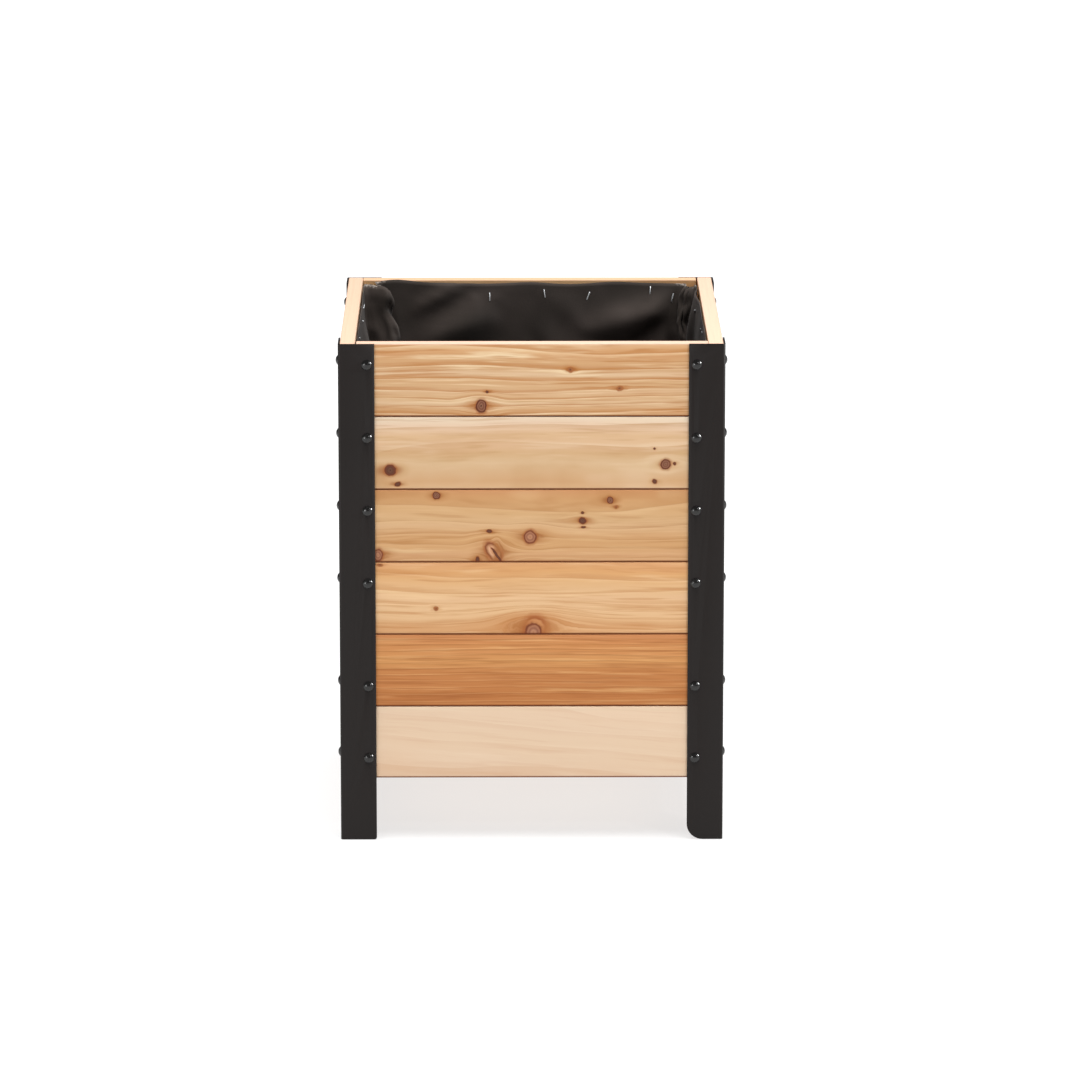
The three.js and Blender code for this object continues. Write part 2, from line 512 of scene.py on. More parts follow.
@dataclass
class CedarFinish:
    """Western red cedar, planed and left bare: bands, streaks and ring lines under a low, even gloss.

    The figure runs along the board and parts round the knots. Its lines are wider apart than growth rings
    are, so that they still show from across a room. The eased upper edges are painted paler, a painted
    highlight where they catch the light from above, and the lower ones are painted dark, a painted shade
    in the joint.
    """

    cedar: Cedar
    grain: Grain
    centre: Vector
    half_width: float
    knots: list[Knot]
    seed: float
    shift: float  # of the tones across the board, as a share of its width
    edge: str  # of the eased upper edge, painted pale as a painted highlight
    joint: str = "#6c3311"  # painted shade of the lower edge, where the joint shades it
    halo: str = "#96552b"  # of the resin that stains the wood round a knot
    bark: str = "#a85c2e"  # of the bark that rims it
    tree: NodeTree = field(init=False)

    def layer(
        self, place: NodeSocket, across: float, along: float, detail: float = 2.0
    ) -> NodeSocket:
        """Noise that is stretched along the grain.

        Args:
            place: Where a point is, as along the grain, and away from the pith.
            across: The size of one patch across the grain, in millimetres.
            along: Its size along the grain.
            detail: How many finer steps it has.

        Returns:
            The noise, from 0 to 1.
        """
        scale = (1 / (along * MM), 1 / (across * MM), 1.0)
        scaled = add_node(self.tree, "Mapping", {}, {"Vector": place, "Scale": scale}).outputs[0]
        pattern = {"Vector": scaled, "Scale": 1.0, "Detail": detail, "Roughness": 0.6}
        return add_node(self.tree, "TexNoise", {}, pattern).outputs[0]

    def stain(
        self,
        colour: NodeSocket,
        pattern: NodeSocket,
        limits: tuple[float, float],
        strength: float,
        towards: str | NodeSocket,
    ) -> NodeSocket:
        """Mixes a second colour in as a pattern goes from one limit to the other.

        Args:
            colour: The colour so far.
            pattern: What decides where.
            limits: The values at which the second colour starts and is full.
            strength: How much of it there is where it is full.
            towards: The second colour.

        Returns:
            The mixed colour.
        """
        share = add_node(
            self.tree,
            "MapRange",
            {"interpolation_type": "SMOOTHSTEP"},
            {0: pattern, 1: limits[0], 2: limits[1], 3: 0.0, 4: strength},
        ).outputs[0]
        second = linear(towards) if isinstance(towards, str) else towards
        return add_node(self.tree, "Mix", {"data_type": "RGBA"}, {0: share, 6: colour, 7: second}).outputs[2]

    def find_knot(self, place: NodeSocket, knot: Knot) -> KnotSpot:
        """Works out where a point is in relation to a knot.

        Args:
            place: The point on the board, with some unevenness added.
            knot: The knot.

        Returns:
            The point's distance from the knot and how far the grain is pushed aside there.
        """
        half_height = knot.height * MM / 2
        along = self.centre.x if self.grain is Grain.ALONG_X else self.centre.y
        any_depth = 1e3  # so large a radius that the depth in the board doesn't count
        placing = {
            "Vector": place,
            "Location": (knot.x * MM - along, 0, knot.z * MM - self.centre.z),
            "Rotation": (0, math.radians(knot.tilt), 0),
            "Scale": (knot.width * MM / 2, any_depth, half_height),
        }
        local = add_node(self.tree, "Mapping", {"vector_type": "TEXTURE"}, placing).outputs[0]
        core = add_node(self.tree, "VectorMath", {"operation": "LENGTH"}, {0: local}).outputs["Value"]
        # The grain parts round an oval, which is 3.4 times as wide as the knot
        placing["Rotation"] = (0, 0, 0)
        placing["Scale"] = (knot.width * MM * 1.7, any_depth, half_height * 1.45)
        wide = add_node(self.tree, "Mapping", {"vector_type": "TEXTURE"}, placing).outputs[0]
        flow = add_node(self.tree, "VectorMath", {"operation": "LENGTH"}, {0: wide}).outputs["Value"]
        nearness = add_node(
            self.tree,
            "MapRange",
            {"interpolation_type": "SMOOTHERSTEP"},
            {0: flow, 1: 0.2, 2: 2.2, 3: 1.0, 4: 0.0},
        ).outputs[0]
        height = add_node(self.tree, "SeparateXYZ", {}, {0: wide}).outputs["Z"]
        pushed = add_node(self.tree, "Math", {"operation": "MULTIPLY"}, {0: height, 1: nearness}).outputs[0]
        lift = add_node(self.tree, "Math", {"operation": "MULTIPLY"}, {0: pushed, 1: half_height}).outputs[0]
        return KnotSpot(knot, core, flow, lift)

    def figure(
        self, board: NodeSocket, spots: list[KnotSpot]
    ) -> tuple[NodeSocket, NodeSocket, NodeSocket]:
        """Lays the grain out on the board.

        Args:
            board: The point in the board's own frame.
            spots: What find_knot says of each knot.

        Returns:
            The distance across the board with the grain's wander, the distance from the pith, and the point
            as along the grain and away from the pith.
        """
        axes = add_node(self.tree, "SeparateXYZ", {}, {0: board}).outputs
        # The grain wanders in waves of about 200 mm along it, 125 mm into it and 77 mm across it
        waves = {"Vector": board, "Location": (self.seed, self.seed, 0), "Scale": (5, 8, 13)}
        slow = add_node(self.tree, "Mapping", {}, waves).outputs[0]
        stray = add_node(self.tree, "TexNoise", {}, {"Vector": slow, "Scale": 1.0, "Detail": 2.0}).outputs[0]
        centred = add_node(self.tree, "Math", {"operation": "SUBTRACT"}, {0: stray, 1: 0.5}).outputs[0]
        slope = math.tan(math.radians(self.cedar.slope))
        level = add_node(
            self.tree, "Math", {"operation": "MULTIPLY_ADD"}, {0: axes["X"], 1: slope, 2: axes["Z"]}
        ).outputs[0]
        across = add_node(
            self.tree,
            "Math",
            {"operation": "MULTIPLY_ADD"},
            {0: centred, 1: 3 * self.cedar.wander * MM, 2: level},
        ).outputs[0]
        for spot in spots:
            across = add_node(
                self.tree, "Math", {"operation": "SUBTRACT"}, {0: across, 1: spot.lift}
            ).outputs[0]
        pith_across, pith_behind = (distance * MM for distance in self.cedar.pith)
        section = add_node(self.tree, "CombineXYZ", {}, {"Y": axes["Y"], "Z": across}).outputs[0]
        pith = (0, pith_behind, pith_across)
        apart = add_node(self.tree, "VectorMath", {"operation": "DISTANCE"}, {0: section, 1: pith})
        radius = apart.outputs["Value"]
        point = {"X": axes["X"], "Y": radius, "Z": self.seed}
        place = add_node(self.tree, "CombineXYZ", {}, point).outputs[0]
        return across, radius, place

    def rings(self, radius: NodeSocket, broad: NodeSocket) -> NodeSocket:
        """Finds how far a point is through its growth ring.

        Args:
            radius: Its distance from the pith.
            broad: Broad patches, in which the rings lie a little nearer or farther.

        Returns:
            The way through the ring, from 0 to 1.
        """
        # From one patch to the next the lines shift by up to two rings, so that they wave
        waves = add_node(self.tree, "Math", {"operation": "MULTIPLY"}, {0: broad, 1: 2.2}).outputs[0]
        place = add_node(
            self.tree,
            "Math",
            {"operation": "MULTIPLY_ADD"},
            {0: radius, 1: 1 / (self.cedar.ring_width * MM), 2: waves},
        ).outputs[0]
        return add_node(self.tree, "Math", {"operation": "FRACT"}, {0: place}).outputs[0]

    def knot_colours(self, colour: NodeSocket, spot: KnotSpot, fine: NodeSocket) -> NodeSocket:
        """Stains the wood round a knot and draws the knot.

        Args:
            colour: The wood's colour so far.
            spot: What find_knot says of the knot.
            fine: The fine streaks, which break the stain up.

        Returns:
            The colour with the knot in it.
        """
        broken = add_node(
            self.tree, "Math", {"operation": "MULTIPLY_ADD"}, {0: fine, 1: 1.6, 2: spot.flow}
        ).outputs[0]
        colour = self.stain(colour, broken, (2.2, 1.0), 0.7, self.cedar.deep)
        colour = self.stain(colour, broken, (1.6, 0.9), 0.6, self.halo)
        # The fine streaks make the knot's outline uneven. The 0.15 takes off what they add on average
        uneven = add_node(
            self.tree, "Math", {"operation": "MULTIPLY_ADD"}, {0: fine, 1: 0.3, 2: spot.core}
        ).outputs[0]
        core = add_node(self.tree, "Math", {"operation": "SUBTRACT"}, {0: uneven, 1: 0.15}).outputs[0]
        colour = self.stain(colour, core, (1.6, 1.1), 0.55, self.bark)
        stops = list(zip((0.0, 0.25, 0.5, 0.7, 0.9), spot.knot.kind.value))
        heart = add_node(self.tree, "ValToRGB", {}, {0: core}, stops).outputs["Color"]
        return self.stain(colour, core, (1.2, 0.95), 0.96, heart)

    def material(self, name: str) -> Material:
        """The board's own material.

        Args:
            name: The material's name.

        Returns:
            The material.
        """
        material, self.tree, shader = new_material(name)
        tree, cedar = self.tree, self.cedar
        objects = add_node(tree, "TexCoord", {}, {}).outputs["Object"]
        centred = add_node(
            tree, "VectorMath", {"operation": "SUBTRACT"}, {0: objects, 1: self.centre}
        ).outputs[0]
        board = add_node(tree, "Mapping", {}, {"Vector": centred, "Rotation": self.grain.value}).outputs[0]
        # The knots' outlines are uneven by up to 1.5 mm, in dents about 7 mm wide
        dents = {"Vector": board, "Scale": 150.0, "Detail": 3.0}
        rough = add_node(tree, "TexNoise", {}, dents).outputs["Color"]
        offset = add_node(
            tree, "VectorMath", {"operation": "SUBTRACT"}, {0: rough, 1: (0.5,) * 3}
        ).outputs[0]
        uneven = add_node(
            tree, "VectorMath", {"operation": "MULTIPLY_ADD"}, {0: offset, 1: (3.0 * MM,) * 3, 2: board}
        ).outputs[0]
        spots = [self.find_knot(uneven, knot) for knot in self.knots]
        across, radius, place = self.figure(board, spots)

        broad = self.layer(place, across=34, along=500, detail=1.5)
        streak = self.layer(place, across=cedar.streak_width, along=230, detail=4.0)
        fine = self.layer(place, across=2.2, along=110)
        ring = self.rings(radius, broad)

        # The tones across the board, then streaks, ring lines and fibres
        spread = {0: across, 1: 0.5 / self.half_width, 2: 0.5 + self.shift}
        share = add_node(tree, "Math", {"operation": "MULTIPLY_ADD"}, spread).outputs[0]
        share = add_node(tree, "Math", {"operation": "PINGPONG"}, {0: share, 1: 1.0}).outputs[0]
        stops = [(i / (len(cedar.tones) - 1), tone) for i, tone in enumerate(cedar.tones)]
        colour = add_node(tree, "ValToRGB", {}, {0: share}, stops).outputs["Color"]
        colour = self.stain(colour, streak, (0.54, 0.72), 0.75 * cedar.streaks, cedar.light)
        colour = self.stain(colour, streak, (0.47, 0.28), 0.65 * cedar.streaks, cedar.deep)
        faded = add_node(tree, "Math", {"operation": "MULTIPLY"}, {0: ring, 1: streak}).outputs[0]
        colour = self.stain(colour, faded, (0.3, 0.52), 0.5 * cedar.lines, cedar.deep)
        colour = self.stain(colour, ring, (0.16, 0.02), 0.3 * cedar.lines, cedar.light)
        colour = self.stain(colour, fine, (0.46, 0.3), 0.5 * cedar.lines, cedar.deep)
        colour = self.stain(colour, fine, (0.55, 0.72), 0.4 * cedar.lines, cedar.light)
        for spot in spots:
            colour = self.knot_colours(colour, spot, fine)
        height = add_node(tree, "SeparateXYZ", {}, {0: board}).outputs["Z"]
        top, bottom = self.half_width, -self.half_width
        # Painted highlight: the rounded upper edge is mixed towards a pale tone, as where it catches the
        # light from above
        colour = self.stain(colour, height, (top - 1.8 * MM, top - 0.5 * MM), 0.8, self.edge)
        # Painted shade: the rounded lower edge is mixed towards a dark brown, as where the joint shades it
        colour = self.stain(colour, height, (bottom + 2.5 * MM, bottom + 1.3 * MM), 0.9, self.joint)

        relief = add_node(
            tree, "Math", {"operation": "MULTIPLY_ADD"}, {0: fine, 1: 0.6, 2: streak}
        ).outputs[0]
        bump = add_node(
            tree, "Bump", {}, {"Height": relief, "Strength": 0.25, "Distance": 0.4 * MM}
        ).outputs[0]
        gloss = add_node(tree, "MapRange", {}, {0: fine, 1: 0.3, 2: 0.7, 3: 0.62, 4: 0.52}).outputs[0]
        tree.links.new(colour, shader.inputs["Base Color"])
        tree.links.new(gloss, shader.inputs["Roughness"])
        tree.links.new(bump, shader.inputs["Normal"])
        shader.inputs["IOR"].default_value = 1.46
        shader.inputs["Specular IOR Level"].default_value = 0.2
        return material


@dataclass(frozen=True)
class PowderCoat:
    """Satin black polyester powder, baked on: a faint orange peel breaks up the reflections."""

    colour: str = "#191412"
    mottle: str = "#1f1917"
    patch: float = 111.0  # across one patch of the mottle, mm
    roughness: float = 0.5
    peel: float = 1.4  # across one cell of the orange peel, mm, coarser than real so that it shows

    def material(self) -> Material:
        """Makes the coating.

        Returns:
            The material.
        """
        material, tree, shader = new_material("satin_black_powder_coat")
        objects = add_node(tree, "TexCoord", {}, {}).outputs["Object"]
        patches = {"Vector": objects, "Scale": 1 / (self.patch * MM), "Detail": 3.0}
        broad = add_node(tree, "TexNoise", {}, patches).outputs[0]
        colour = add_node(
            tree,
            "Mix",
            {"data_type": "RGBA"},
            {0: broad, 6: linear(self.colour), 7: linear(self.mottle)},
        ).outputs[2]
        cells = add_node(
            tree, "TexNoise", {}, {"Vector": objects, "Scale": 1 / (self.peel * MM), "Detail": 1.0}
        ).outputs[0]
        bump = add_node(
            tree, "Bump", {}, {"Height": cells, "Strength": 0.12, "Distance": 0.3 * MM}
        ).outputs[0]
        gloss = add_node(
            tree,
            "MapRange",
            {},
            {0: broad, 1: 0.3, 2: 0.7, 3: self.roughness - 0.04, 4: self.roughness + 0.05},
        ).outputs[0]
        tree.links.new(colour, shader.inputs["Base Color"])
        tree.links.new(gloss, shader.inputs["Roughness"])
        tree.links.new(bump, shader.inputs["Normal"])
        shader.inputs["Specular IOR Level"].default_value = 0.23
        return material


@dataclass(frozen=True)
class BlackBoltFinish:
    """Black electrophoretic coating on cold-headed steel: smooth and glossy, so it mirrors lights sharply."""

    colour: str = "#0d0c0c"
    worn: str = "#1a1817"
    rub: float = 3.125  # across one rubbed patch, mm
    roughness: float = 0.2

    def material(self) -> Material:
        """Makes the coating.

        Returns:
            The material.
        """
        material, tree, shader = new_material("glossy_black_coated_bolt_steel")
        objects = add_node(tree, "TexCoord", {}, {}).outputs["Object"]
        rubs = {"Vector": objects, "Scale": 1 / (self.rub * MM), "Detail": 3.0}
        wear = add_node(tree, "TexNoise", {}, rubs).outputs[0]
        colour = add_node(
            tree, "Mix", {"data_type": "RGBA"}, {0: wear, 6: linear(self.colour), 7: linear(self.worn)}
        ).outputs[2]
        gloss = add_node(
            tree, "MapRange", {}, {0: wear, 1: 0.35, 2: 0.7, 3: self.roughness, 4: self.roughness + 0.12}
        ).outputs[0]
        tree.links.new(colour, shader.inputs["Base Color"])
        tree.links.new(gloss, shader.inputs["Roughness"])
        return material


@dataclass(frozen=True)
class ZincPlate:
    """Zinc plate on steel: pale and a little cloudy. Pressed parts keep a soft gloss, wire is duller."""

    name: str = "bright_zinc_plated_pressed_steel"
    colour: str = "#b9bcc0"
    cloud: str = "#9da1a6"
    cloud_width: float = 3.846  # mm
    roughness: float = 0.28
    metallic: float = 1.0

    def material(self) -> Material:
        """Makes the plating.

        Returns:
            The material.
        """
        material, tree, shader = new_material(self.name)
        objects = add_node(tree, "TexCoord", {}, {}).outputs["Object"]
        clouds = {"Vector": objects, "Scale": 1 / (self.cloud_width * MM), "Detail": 3.0}
        cloud = add_node(tree, "TexNoise", {}, clouds).outputs[0]
        colour = add_node(
            tree, "Mix", {"data_type": "RGBA"}, {0: cloud, 6: linear(self.colour), 7: linear(self.cloud)}
        ).outputs[2]
        gloss = add_node(
            tree, "MapRange", {}, {0: cloud, 1: 0.3, 2: 0.7, 3: self.roughness, 4: self.roughness + 0.14}
        ).outputs[0]
        tree.links.new(colour, shader.inputs["Base Color"])
        tree.links.new(gloss, shader.inputs["Roughness"])
        shader.inputs["Metallic"].default_value = self.metallic
        return material


@dataclass(frozen=True)
class LandscapeFabric:
    """Black spunbonded polypropylene: matt, faintly pebbled, with a faint sheen and a little lint."""

    colour: str = "#3a3430"
    pressed: str = "#4a423e"
    lint: str = "#a39a92"
    clump: float = 1.1  # across one clump of filaments, mm, coarser than real so that it shows
    patch: float = 71.4  # across one pressed patch, mm
    fleck: float = 20.83  # between two flecks of lint, mm
    cluster: float = 45.45  # between two clusters of flecks, mm
    loose_end: float = 2.381  # between two loose ends on the cut edge, mm

    def material(self) -> Material:
        """Makes the fabric.

        Returns:
            The material.
        """
        material, tree, shader = new_material("black_spunbonded_landscape_fabric")
        objects = add_node(tree, "TexCoord", {}, {}).outputs["Object"]
        clumps = add_node(
            tree, "TexNoise", {}, {"Vector": objects, "Scale": 1 / (self.clump * MM), "Detail": 3.0}
        ).outputs[0]
        patches = {"Vector": objects, "Scale": 1 / (self.patch * MM), "Detail": 2.0}
        broad = add_node(tree, "TexNoise", {}, patches).outputs[0]
        patch = add_node(tree, "MapRange", {}, {0: broad, 1: 0.35, 2: 0.7, 3: 0.0, 4: 1.0}).outputs[0]
        colour = add_node(
            tree, "Mix", {"data_type": "RGBA"}, {0: patch, 6: linear(self.colour), 7: linear(self.pressed)}
        ).outputs[2]
        # Lint: short flecks that lie askew, and only in clusters
        askew = {"Vector": objects, "Rotation": (0.5, 0.4, 0.7), "Scale": (1, 1, 0.4)}
        stretched = add_node(tree, "Mapping", {}, askew).outputs[0]
        flecks = {"Vector": stretched, "Scale": 1 / (self.fleck * MM), "Randomness": 1.0}
        specks = add_node(tree, "TexVoronoi", {"feature": "F1"}, flecks).outputs["Distance"]
        clusters = {"Vector": objects, "Scale": 1 / (self.cluster * MM), "Detail": 1.0}
        gathered = add_node(tree, "TexNoise", {}, clusters).outputs[0]
        reach = add_node(tree, "MapRange", {}, {0: gathered, 1: 0.5, 2: 0.75, 3: 0.0, 4: 0.1}).outputs[0]
        inside = add_node(tree, "Math", {"operation": "SUBTRACT"}, {0: reach, 1: specks}).outputs[0]
        fluff = add_node(tree, "MapRange", {}, {0: inside, 1: 0.0, 2: 0.03, 3: 0.0, 4: 0.6}).outputs[0]
        colour = add_node(
            tree, "Mix", {"data_type": "RGBA"}, {0: fluff, 6: colour, 7: linear(self.lint)}
        ).outputs[2]
        # Loose ends along the cut edge
        cut_edge = add_node(tree, "Attribute", {"attribute_name": "fray"}, {}).outputs["Fac"]
        ends = {"Vector": objects, "Scale": 1 / (self.loose_end * MM), "Detail": 2.0}
        threads = add_node(tree, "TexNoise", {}, ends).outputs[0]
        loose = add_node(tree, "Math", {"operation": "MULTIPLY"}, {0: cut_edge, 1: threads}).outputs[0]
        frayed = add_node(tree, "MapRange", {}, {0: loose, 1: 0.36, 2: 0.6, 3: 0.0, 4: 0.7}).outputs[0]
        colour = add_node(
            tree, "Mix", {"data_type": "RGBA"}, {0: frayed, 6: colour, 7: linear(self.lint)}
        ).outputs[2]
        bump = add_node(
            tree, "Bump", {}, {"Height": clumps, "Strength": 0.3, "Distance": 0.5 * MM}
        ).outputs[0]
        gloss = add_node(tree, "MapRange", {}, {0: clumps, 1: 0.3, 2: 0.7, 3: 0.6, 4: 0.75}).outputs[0]
        tree.links.new(colour, shader.inputs["Base Color"])
        tree.links.new(gloss, shader.inputs["Roughness"])
        tree.links.new(bump, shader.inputs["Normal"])
        shader.inputs["Sheen Weight"].default_value = 0.04
        shader.inputs["Sheen Roughness"].default_value = 0.5
        shader.inputs["IOR"].default_value = 1.2
        return material


# Boards


def random_knots(rng: random.Random, length: float, low: float, high: float) -> list[Knot]:
    """Knots for a board that has none of its own listed.

    Args:
        rng: The source of the draws.
        length: The board's length in millimetres.
        low: The board's lower edge in millimetres.
        high: Its upper edge.

    Returns:
        Up to four knots, mostly small.
    """
    knots = []
    for _ in range(rng.choice((0, 1, 2, 2, 3, 4))):
        size = rng.choice((3.5, 5, 6, 8, 12, 14))
        kind = KnotKind.RINGED if size >= 8 else rng.choice((KnotKind.DARK, KnotKind.RED))
        knots.append(
            Knot(
                rng.uniform(-0.45, 0.45) * length,
                rng.uniform(low + 8, high - 8),
                size,
                size * rng.uniform(0.8, 1.25),
                kind,
                rng.uniform(-30, 30),
            )
        )
    return knots


@dataclass
class Board:
    """A planed cedar board with eased edges, drilled for its bolts."""

    node: str
    cedar: Cedar
    grain: Grain
    knots: list[Knot]
    seed: float
    shift: float = 0.0  # of its tones across it, as a share of its width
    rim: str = ""  # the painted highlight tone of its upper edge, where that is the planter's rim
    holes: list[Vector] = field(default_factory=list)
    eased: float = 1.3 * MM  # the rounding of its long edges
    end_break: float = 0.5 * MM  # and of its ends
    drill: float = 2.8 * MM  # the holes' radius
    sharp: float = 30.0  # degrees, above which an edge stays sharp

    def blank(self) -> BMesh:
        """The board before it is drilled.

        Returns:
            A block of the node's size, with its long edges rounded and its ends lightly broken.
        """
        low, high = (Vector(corner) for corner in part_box(self.node))
        size, centre = high - low, (high + low) / 2
        along = max(range(3), key=lambda axis: size[axis])
        bm = bmesh.new()
        bmesh.ops.create_cube(bm, size=1.0)
        bmesh.ops.scale(bm, vec=size, verts=bm.verts)
        bmesh.ops.translate(bm, vec=centre, verts=bm.verts)
        edges = [e for e in bm.edges if abs((e.verts[0].co - e.verts[1].co)[along]) > size[along] / 2]
        bmesh.ops.bevel(
            bm, geom=edges, offset=self.eased, affect="EDGES", segments=4, profile=0.5, material=-1
        )
        ends = [
            e for e in bm.edges
            if all(abs(abs(v.co[along] - centre[along]) - size[along] / 2) < TINY for v in e.verts)
        ]
        bmesh.ops.bevel(
            bm, geom=ends, offset=self.end_break, affect="EDGES", segments=2, profile=0.5, material=-1
        )
        return bm

    def drills(self) -> BMesh:
        """The round holes for the bolts.

        Returns:
            A rod through each hole, as one cutter.
        """
        bm = bmesh.new()
        turn = Matrix.Rotation(QUARTER_TURN, 4, "X" if self.grain is Grain.ALONG_X else "Y")
        for hole in self.holes:
            bmesh.ops.create_cone(
                bm,
                cap_ends=True,
                segments=20,
                radius1=self.drill,
                radius2=self.drill,
                depth=80 * MM,
                matrix=Matrix.Translation(hole) @ turn,
            )
        return bm

    def build(self) -> None:
        """Makes the board and dresses it."""
        low, high = (Vector(corner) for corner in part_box(self.node))
        width = sorted(high - low)[1]  # between its thickness and its length
        finish = CedarFinish(
            self.cedar,
            self.grain,
            centre=(low + high) / 2,
            half_width=width / 2,
            knots=self.knots,
            seed=self.seed,
            shift=self.shift,
            # The upper edge's pale tone is a painted highlight: the rim's tone on the top row, the board's
            # uppermost tone elsewhere
            edge=self.rim or self.cedar.tones[-1],
        )
        material = finish.material(f"planed_{self.cedar.label}_cedar_{self.node}")
        piece = place_mesh(self.blank(), f"{self.node}_planed", material, self.sharp)
        if self.holes:
            cut_away(piece, self.drills())
            piece.data.shade_smooth()
            piece.data.set_sharp_from_angle(angle=math.radians(self.sharp))
        hand_over(piece, self.cedar.slot, [self.node])


@dataclass
class Walls:
    """The four walls, each of six boards."""

    bolts: list[Fastening]
    seed: int = 11

    def build(self) -> None:
        """Makes every wall board."""
        for wall in Wall:
            for row in ROWS:
                self.board(wall, row).build()

    def board(self, wall: Wall, row: int) -> Board:
        """One board, with its tone, knots and holes.

        Args:
            wall: The board's wall.
            row: Its row, from 1 at the rim.

        Returns:
            The board, ready to build.
        """
        node = f"board_{wall.label}_{row}"
        low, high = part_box(node)
        rng = random.Random(self.seed * 100 + wall.turns * 10 + row)
        across_x = wall in (Wall.FRONT, Wall.BACK)
        length = (high[0] - low[0] if across_x else high[1] - low[1]) / MM
        front = wall is Wall.FRONT
        cedar = FRONT_TONES[row] if front else OTHER_TONES[wall][row]
        if front:
            knots = FRONT_KNOTS[row]
        elif cedar in (RUSSET, SAPWOOD):
            knots = []
        else:
            knots = random_knots(rng, length, low[2] / MM, high[2] / MM)
        return Board(
            node,
            cedar,
            Grain.ALONG_X if across_x else Grain.ALONG_Y,
            knots,
            seed=rng.uniform(0, 90),
            shift=0.0 if front else rng.uniform(0.2, 0.8),
            rim=PAINTED_RIM_HIGHLIGHTS[wall] if row == ROWS[0] else "",
            holes=[
                wall.turn @ Vector((bolt.x, bolt.y, bolt.z))
                for bolt in self.bolts
                if bolt.wall is wall and bolt.row == row
            ],
        )


@dataclass
class Floor:
    """The slats under the liner and the cleats that they lie on."""

    seed: int = 5

    def build(self) -> None:
        """Makes the slats and the cleats."""
        names = [f"floor_slat_{i}" for i in range(1, 5)] + ["floor_cleat_left", "floor_cleat_right"]
        tones = [GOLD, BLUSH, AMBER, GOLD, SAPWOOD, SAPWOOD]
        rng = random.Random(self.seed)
        for node, cedar in zip(names, tones):
            grain = Grain.FLAT_ALONG_X if "slat" in node else Grain.ALONG_Y
            Board(node, cedar, grain, [], seed=rng.uniform(0, 90), shift=rng.uniform(0.2, 0.8)).build()


# Legs


@dataclass
class CornerLegs:
    """Four legs of folded sheet steel. Each is the same piece turned a quarter on from the last."""

    sheet: float = 2.0 * MM  # thickness
    bend: float = 3.0 * MM  # the outside radius of the fold
    edge: float = 0.35 * MM  # the rounding of the cut edges
    square_hole: float = 5.4 * MM  # across its flats
    near_foot: float = 3.0 * MM  # the radius of the foot's corner on one flange
    far_foot: float = 19.0 * MM  # and on the other

    def folded_sheet(self, low: Vector, high: Vector) -> BMesh:
        """The front left leg without its holes.

        Args:
            low: The lowest corner of the leg, which is the outside of its fold at the foot.
            high: Its highest corner.

        Returns:
            A closed shape of one folded sheet with round corners at its feet.
        """
        flange, height = high.x - low.x, high.z - low.z
        bm = bmesh.new()
        start = bm.verts.new((flange, 0, 0))
        run = bmesh.ops.extrude_vert_indiv(bm, verts=[start])
        bmesh.ops.translate(bm, vec=(self.bend - flange, 0, 0), verts=run["verts"])
        fold = bmesh.ops.spin(
            bm,
            geom=run["verts"],
            cent=(self.bend, self.bend, 0),
            axis=(0, 0, -1),
            angle=QUARTER_TURN,
            steps=8,
            use_merge=False,
        )
        last = [v for v in fold["geom_last"] if isinstance(v, BMVert)]
        side = bmesh.ops.extrude_vert_indiv(bm, verts=last)
        bmesh.ops.translate(bm, vec=(0, flange - self.bend, 0), verts=side["verts"])
        bmesh.ops.remove_doubles(bm, verts=bm.verts, dist=TINY)
        raised = bmesh.ops.extrude_edge_only(bm, edges=bm.edges)
        top = [v for v in raised["geom"] if isinstance(v, BMVert)]
        bmesh.ops.translate(bm, vec=(0, 0, height), verts=top)
        for radius, foot in ((self.near_foot, (flange, 0, 0)), (self.far_foot, (0, flange, 0))):
            corner = min(bm.verts, key=lambda v: (v.co - Vector(foot)).length)
            bmesh.ops.bevel(
                bm, geom=[corner], offset=radius, affect="VERTICES", segments=10, profile=0.5, material=-1
            )
        bmesh.ops.recalc_face_normals(bm, faces=bm.faces)
        front = max(bm.faces, key=lambda f: f.calc_area() * abs(f.normal.y))
        if front.normal.y > 0:
            bmesh.ops.reverse_faces(bm, faces=bm.faces)
        bmesh.ops.solidify(bm, geom=bm.faces, thickness=self.sheet)
        bmesh.ops.recalc_face_normals(bm, faces=bm.faces)
        bmesh.ops.translate(bm, vec=low, verts=bm.verts)
        return bm

    def punches(self, low: Vector, bolts: list[Fastening]) -> BMesh:
        """The square holes in both flanges, as one cutter.

        Args:
            low: The outside of the fold at the foot.
            bolts: Every bolt of the planter.

        Returns:
            A block for each hole.
        """
        bm = bmesh.new()
        for bolt in bolts:
            if bolt.wall is Wall.FRONT and bolt.side < 0:
                off = bolt.x - low.x
                for centre in ((low.x + off, low.y, bolt.z), (low.x, low.y + off, bolt.z)):
                    bmesh.ops.create_cube(bm, size=self.square_hole, matrix=Matrix.Translation(centre))
        return bm

    def build(self, bolts: list[Fastening], material: Material) -> None:
        """Makes the four legs.

        Args:
            bolts: Every bolt of the planter.
            material: The coating.
        """
        low, high = (Vector(corner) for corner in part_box("leg_front_left"))
        for turns, corner in enumerate(("front_left", "front_right", "back_right", "back_left")):
            piece = place_mesh(self.folded_sheet(low, high), f"leg_{corner}_folded", material)
            cut_away(piece, self.punches(low, bolts))
            piece.data.transform(Matrix.Rotation(turns * QUARTER_TURN, 4, "Z"))
            soften(piece, self.edge, 2)
            hand_over(piece, "powder_coat", [f"leg_{corner}"])


# Fasteners


